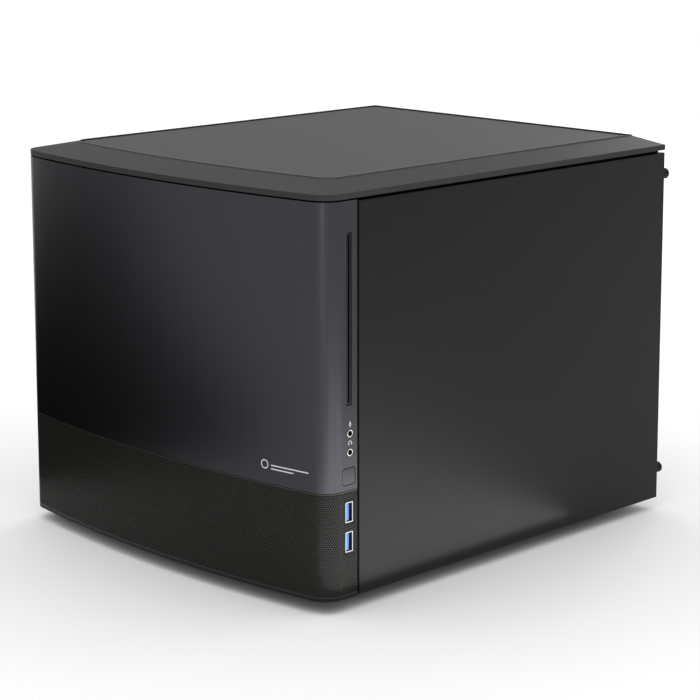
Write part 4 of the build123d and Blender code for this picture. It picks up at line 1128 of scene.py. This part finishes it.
@dataclass
class Studio:
    """Pale floor, soft light and the camera.

    Attributes:
        camera_place: Where the camera stands.
        heading: Its turn about z, in degrees.
        dip: How far it looks down, in degrees.
        roll: Its tilt, in degrees.
        lens_mm: Its focal length.
        sensor_mm: Width of its sensor.
        shift: Shift of its picture, as shares of the width.
        floor_half: Half the floor's side.
        flag_place: Middle of the black flag.
        flag_half: Half the flag's sides.
        flag_turn: Its turn about z, in degrees.
        horizon: Strength of the sky at the horizon.
        zenith: Its strength overhead.
        lamps: The lamps.
    """

    camera_place: tuple[float, float, float] = (1.2472, -1.2208, 0.5359)
    heading: float = 45.948
    dip: float = 10.199
    roll: float = -0.138
    lens_mm: float = 114.26
    sensor_mm: float = 36.0
    shift: tuple[float, float] = (0.0273, -0.15)
    floor_half: float = 12.0
    flag_place: tuple[float, float, float] = (-1.25, -0.72, 0.012)
    flag_half: tuple[float, float] = (1.15, 0.36)
    flag_turn: float = 26.0
    horizon: float = 0.15
    zenith: float = 1.65
    lamps: tuple[Lamp, ...] = (
        Lamp("back_right", place=(-0.9, 2.4, 0.7), target=(0.05, 0, 0.3), size=0.9, power=9.0),
        Lamp("low_right", place=(0.41, -0.14, 0.015), target=(0.41, -0.14, 1.0), size=0.46, power=1.6),
        Lamp("strip", place=(1.05, -1.5, 0.35), target=(0.17, -0.19, 0.15), size=0.3, power=2.2),
    )

    def camera(self) -> None:
        """Places the camera at the front right."""
        data = bpy.data.cameras.new("camera")
        data.sensor_width = self.sensor_mm
        data.lens = self.lens_mm
        data.shift_x, data.shift_y = self.shift
        camera = bpy.data.objects.new("camera", data)
        turn = (Matrix.Rotation(math.radians(self.heading), 4, "Z")
                @ Matrix.Rotation(math.radians(90 - self.dip), 4, "X")
                @ Matrix.Rotation(math.radians(self.roll), 4, "Z"))
        camera.matrix_world = Matrix.Translation(self.camera_place) @ turn
        bpy.context.scene.collection.objects.link(camera)
        bpy.context.scene.camera = camera

    def plane(self, name: str, place: Matrix, finish: Finish) -> Piece:
        """Adds a flat rectangle.

        Args:
            name: Its name.
            place: What turns a square of two metres into it.
            finish: What it is made of.

        Returns:
            The new object.
        """
        shape = bmesh.new()
        bmesh.ops.create_grid(shape, x_segments=1, y_segments=1, size=1.0, matrix=place)
        mesh = bpy.data.meshes.new(name)
        shape.to_mesh(mesh)
        shape.free()
        mesh.materials.append(finish.material())
        plane = bpy.data.objects.new(name, mesh)
        bpy.context.scene.collection.objects.link(plane)
        return plane

    def floor(self) -> None:
        """Lays a large pale floor."""
        floor = self.plane("floor", Matrix.Diagonal((self.floor_half, self.floor_half, 1, 1)), BACKDROP_PAPER)

    def flag(self) -> None:
        """Lays a black flag at the front left that only reflections see, so the front stays dark."""
        place = (Matrix.Translation(self.flag_place) @ Matrix.Rotation(math.radians(self.flag_turn), 4, "Z")
                 @ Matrix.Diagonal((*self.flag_half, 1, 1)))
        flag = self.plane("flag", place, FLAG_FELT)
        for ray in ("visible_camera", "visible_diffuse", "visible_shadow", "visible_transmission"):
            setattr(flag, ray, False)

    def sky(self) -> None:
        """Fills the room with white light that is softer at the horizon than overhead."""
        world = bpy.data.worlds.new("studio")
        world.use_nodes = True
        tree = world.node_tree
        shade = tree.nodes["Background"]
        shade.inputs["Color"].default_value = linear("ffffff")
        way = add_node(tree, "TexCoord").outputs["Generated"]
        height = add_node(tree, "SeparateXYZ", {}, {"Vector": way}).outputs["Z"]
        ranged = add_node(tree, "MapRange", {"To Min": self.horizon, "To Max": self.zenith},
                          {"Value": height})
        tree.links.new(ranged.outputs["Result"], shade.inputs["Strength"])
        bpy.context.scene.world = world

    def build(self) -> None:
        """Builds the whole setting."""
        self.floor()
        self.sky()
        self.flag()
        for lamp in self.lamps:
            lamp.build()
        self.camera()
        bpy.context.scene.view_settings.view_transform = "Standard"


def dress_nodes() -> None:
    """Gives each CAD node that still shows its finish."""
    for finish, nodes in NODE_FINISHES.items():
        for node in nodes:
            mesh = frame["nodes"][node].data
            if not mesh.materials:
                mesh.materials.append(None)
            for place in range(len(mesh.materials)):
                mesh.materials[place] = finish.material()


def main() -> None:
    """Builds every piece in order, then the setting."""
    logging.basicConfig(level=logging.INFO, format="%(name)s: %(message)s")
    low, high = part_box("brushed_face")
    outline = FrontOutline(half=high.x, apex=low.y, back=high.y)
    for node, (finish, slot, width) in EASED_NODES.items():
        piece = eased_copy(node, finish, width)
        LOG.info("%s with eased edges: %d faces", node, len(piece.data.polygons))
    Grille(outline).build()
    WingMarks().build()
    FrontMark(outline).build()
    CoverTrim().build()
    dress_nodes()
    Studio().build()


if __name__ == "__main__":
    main()
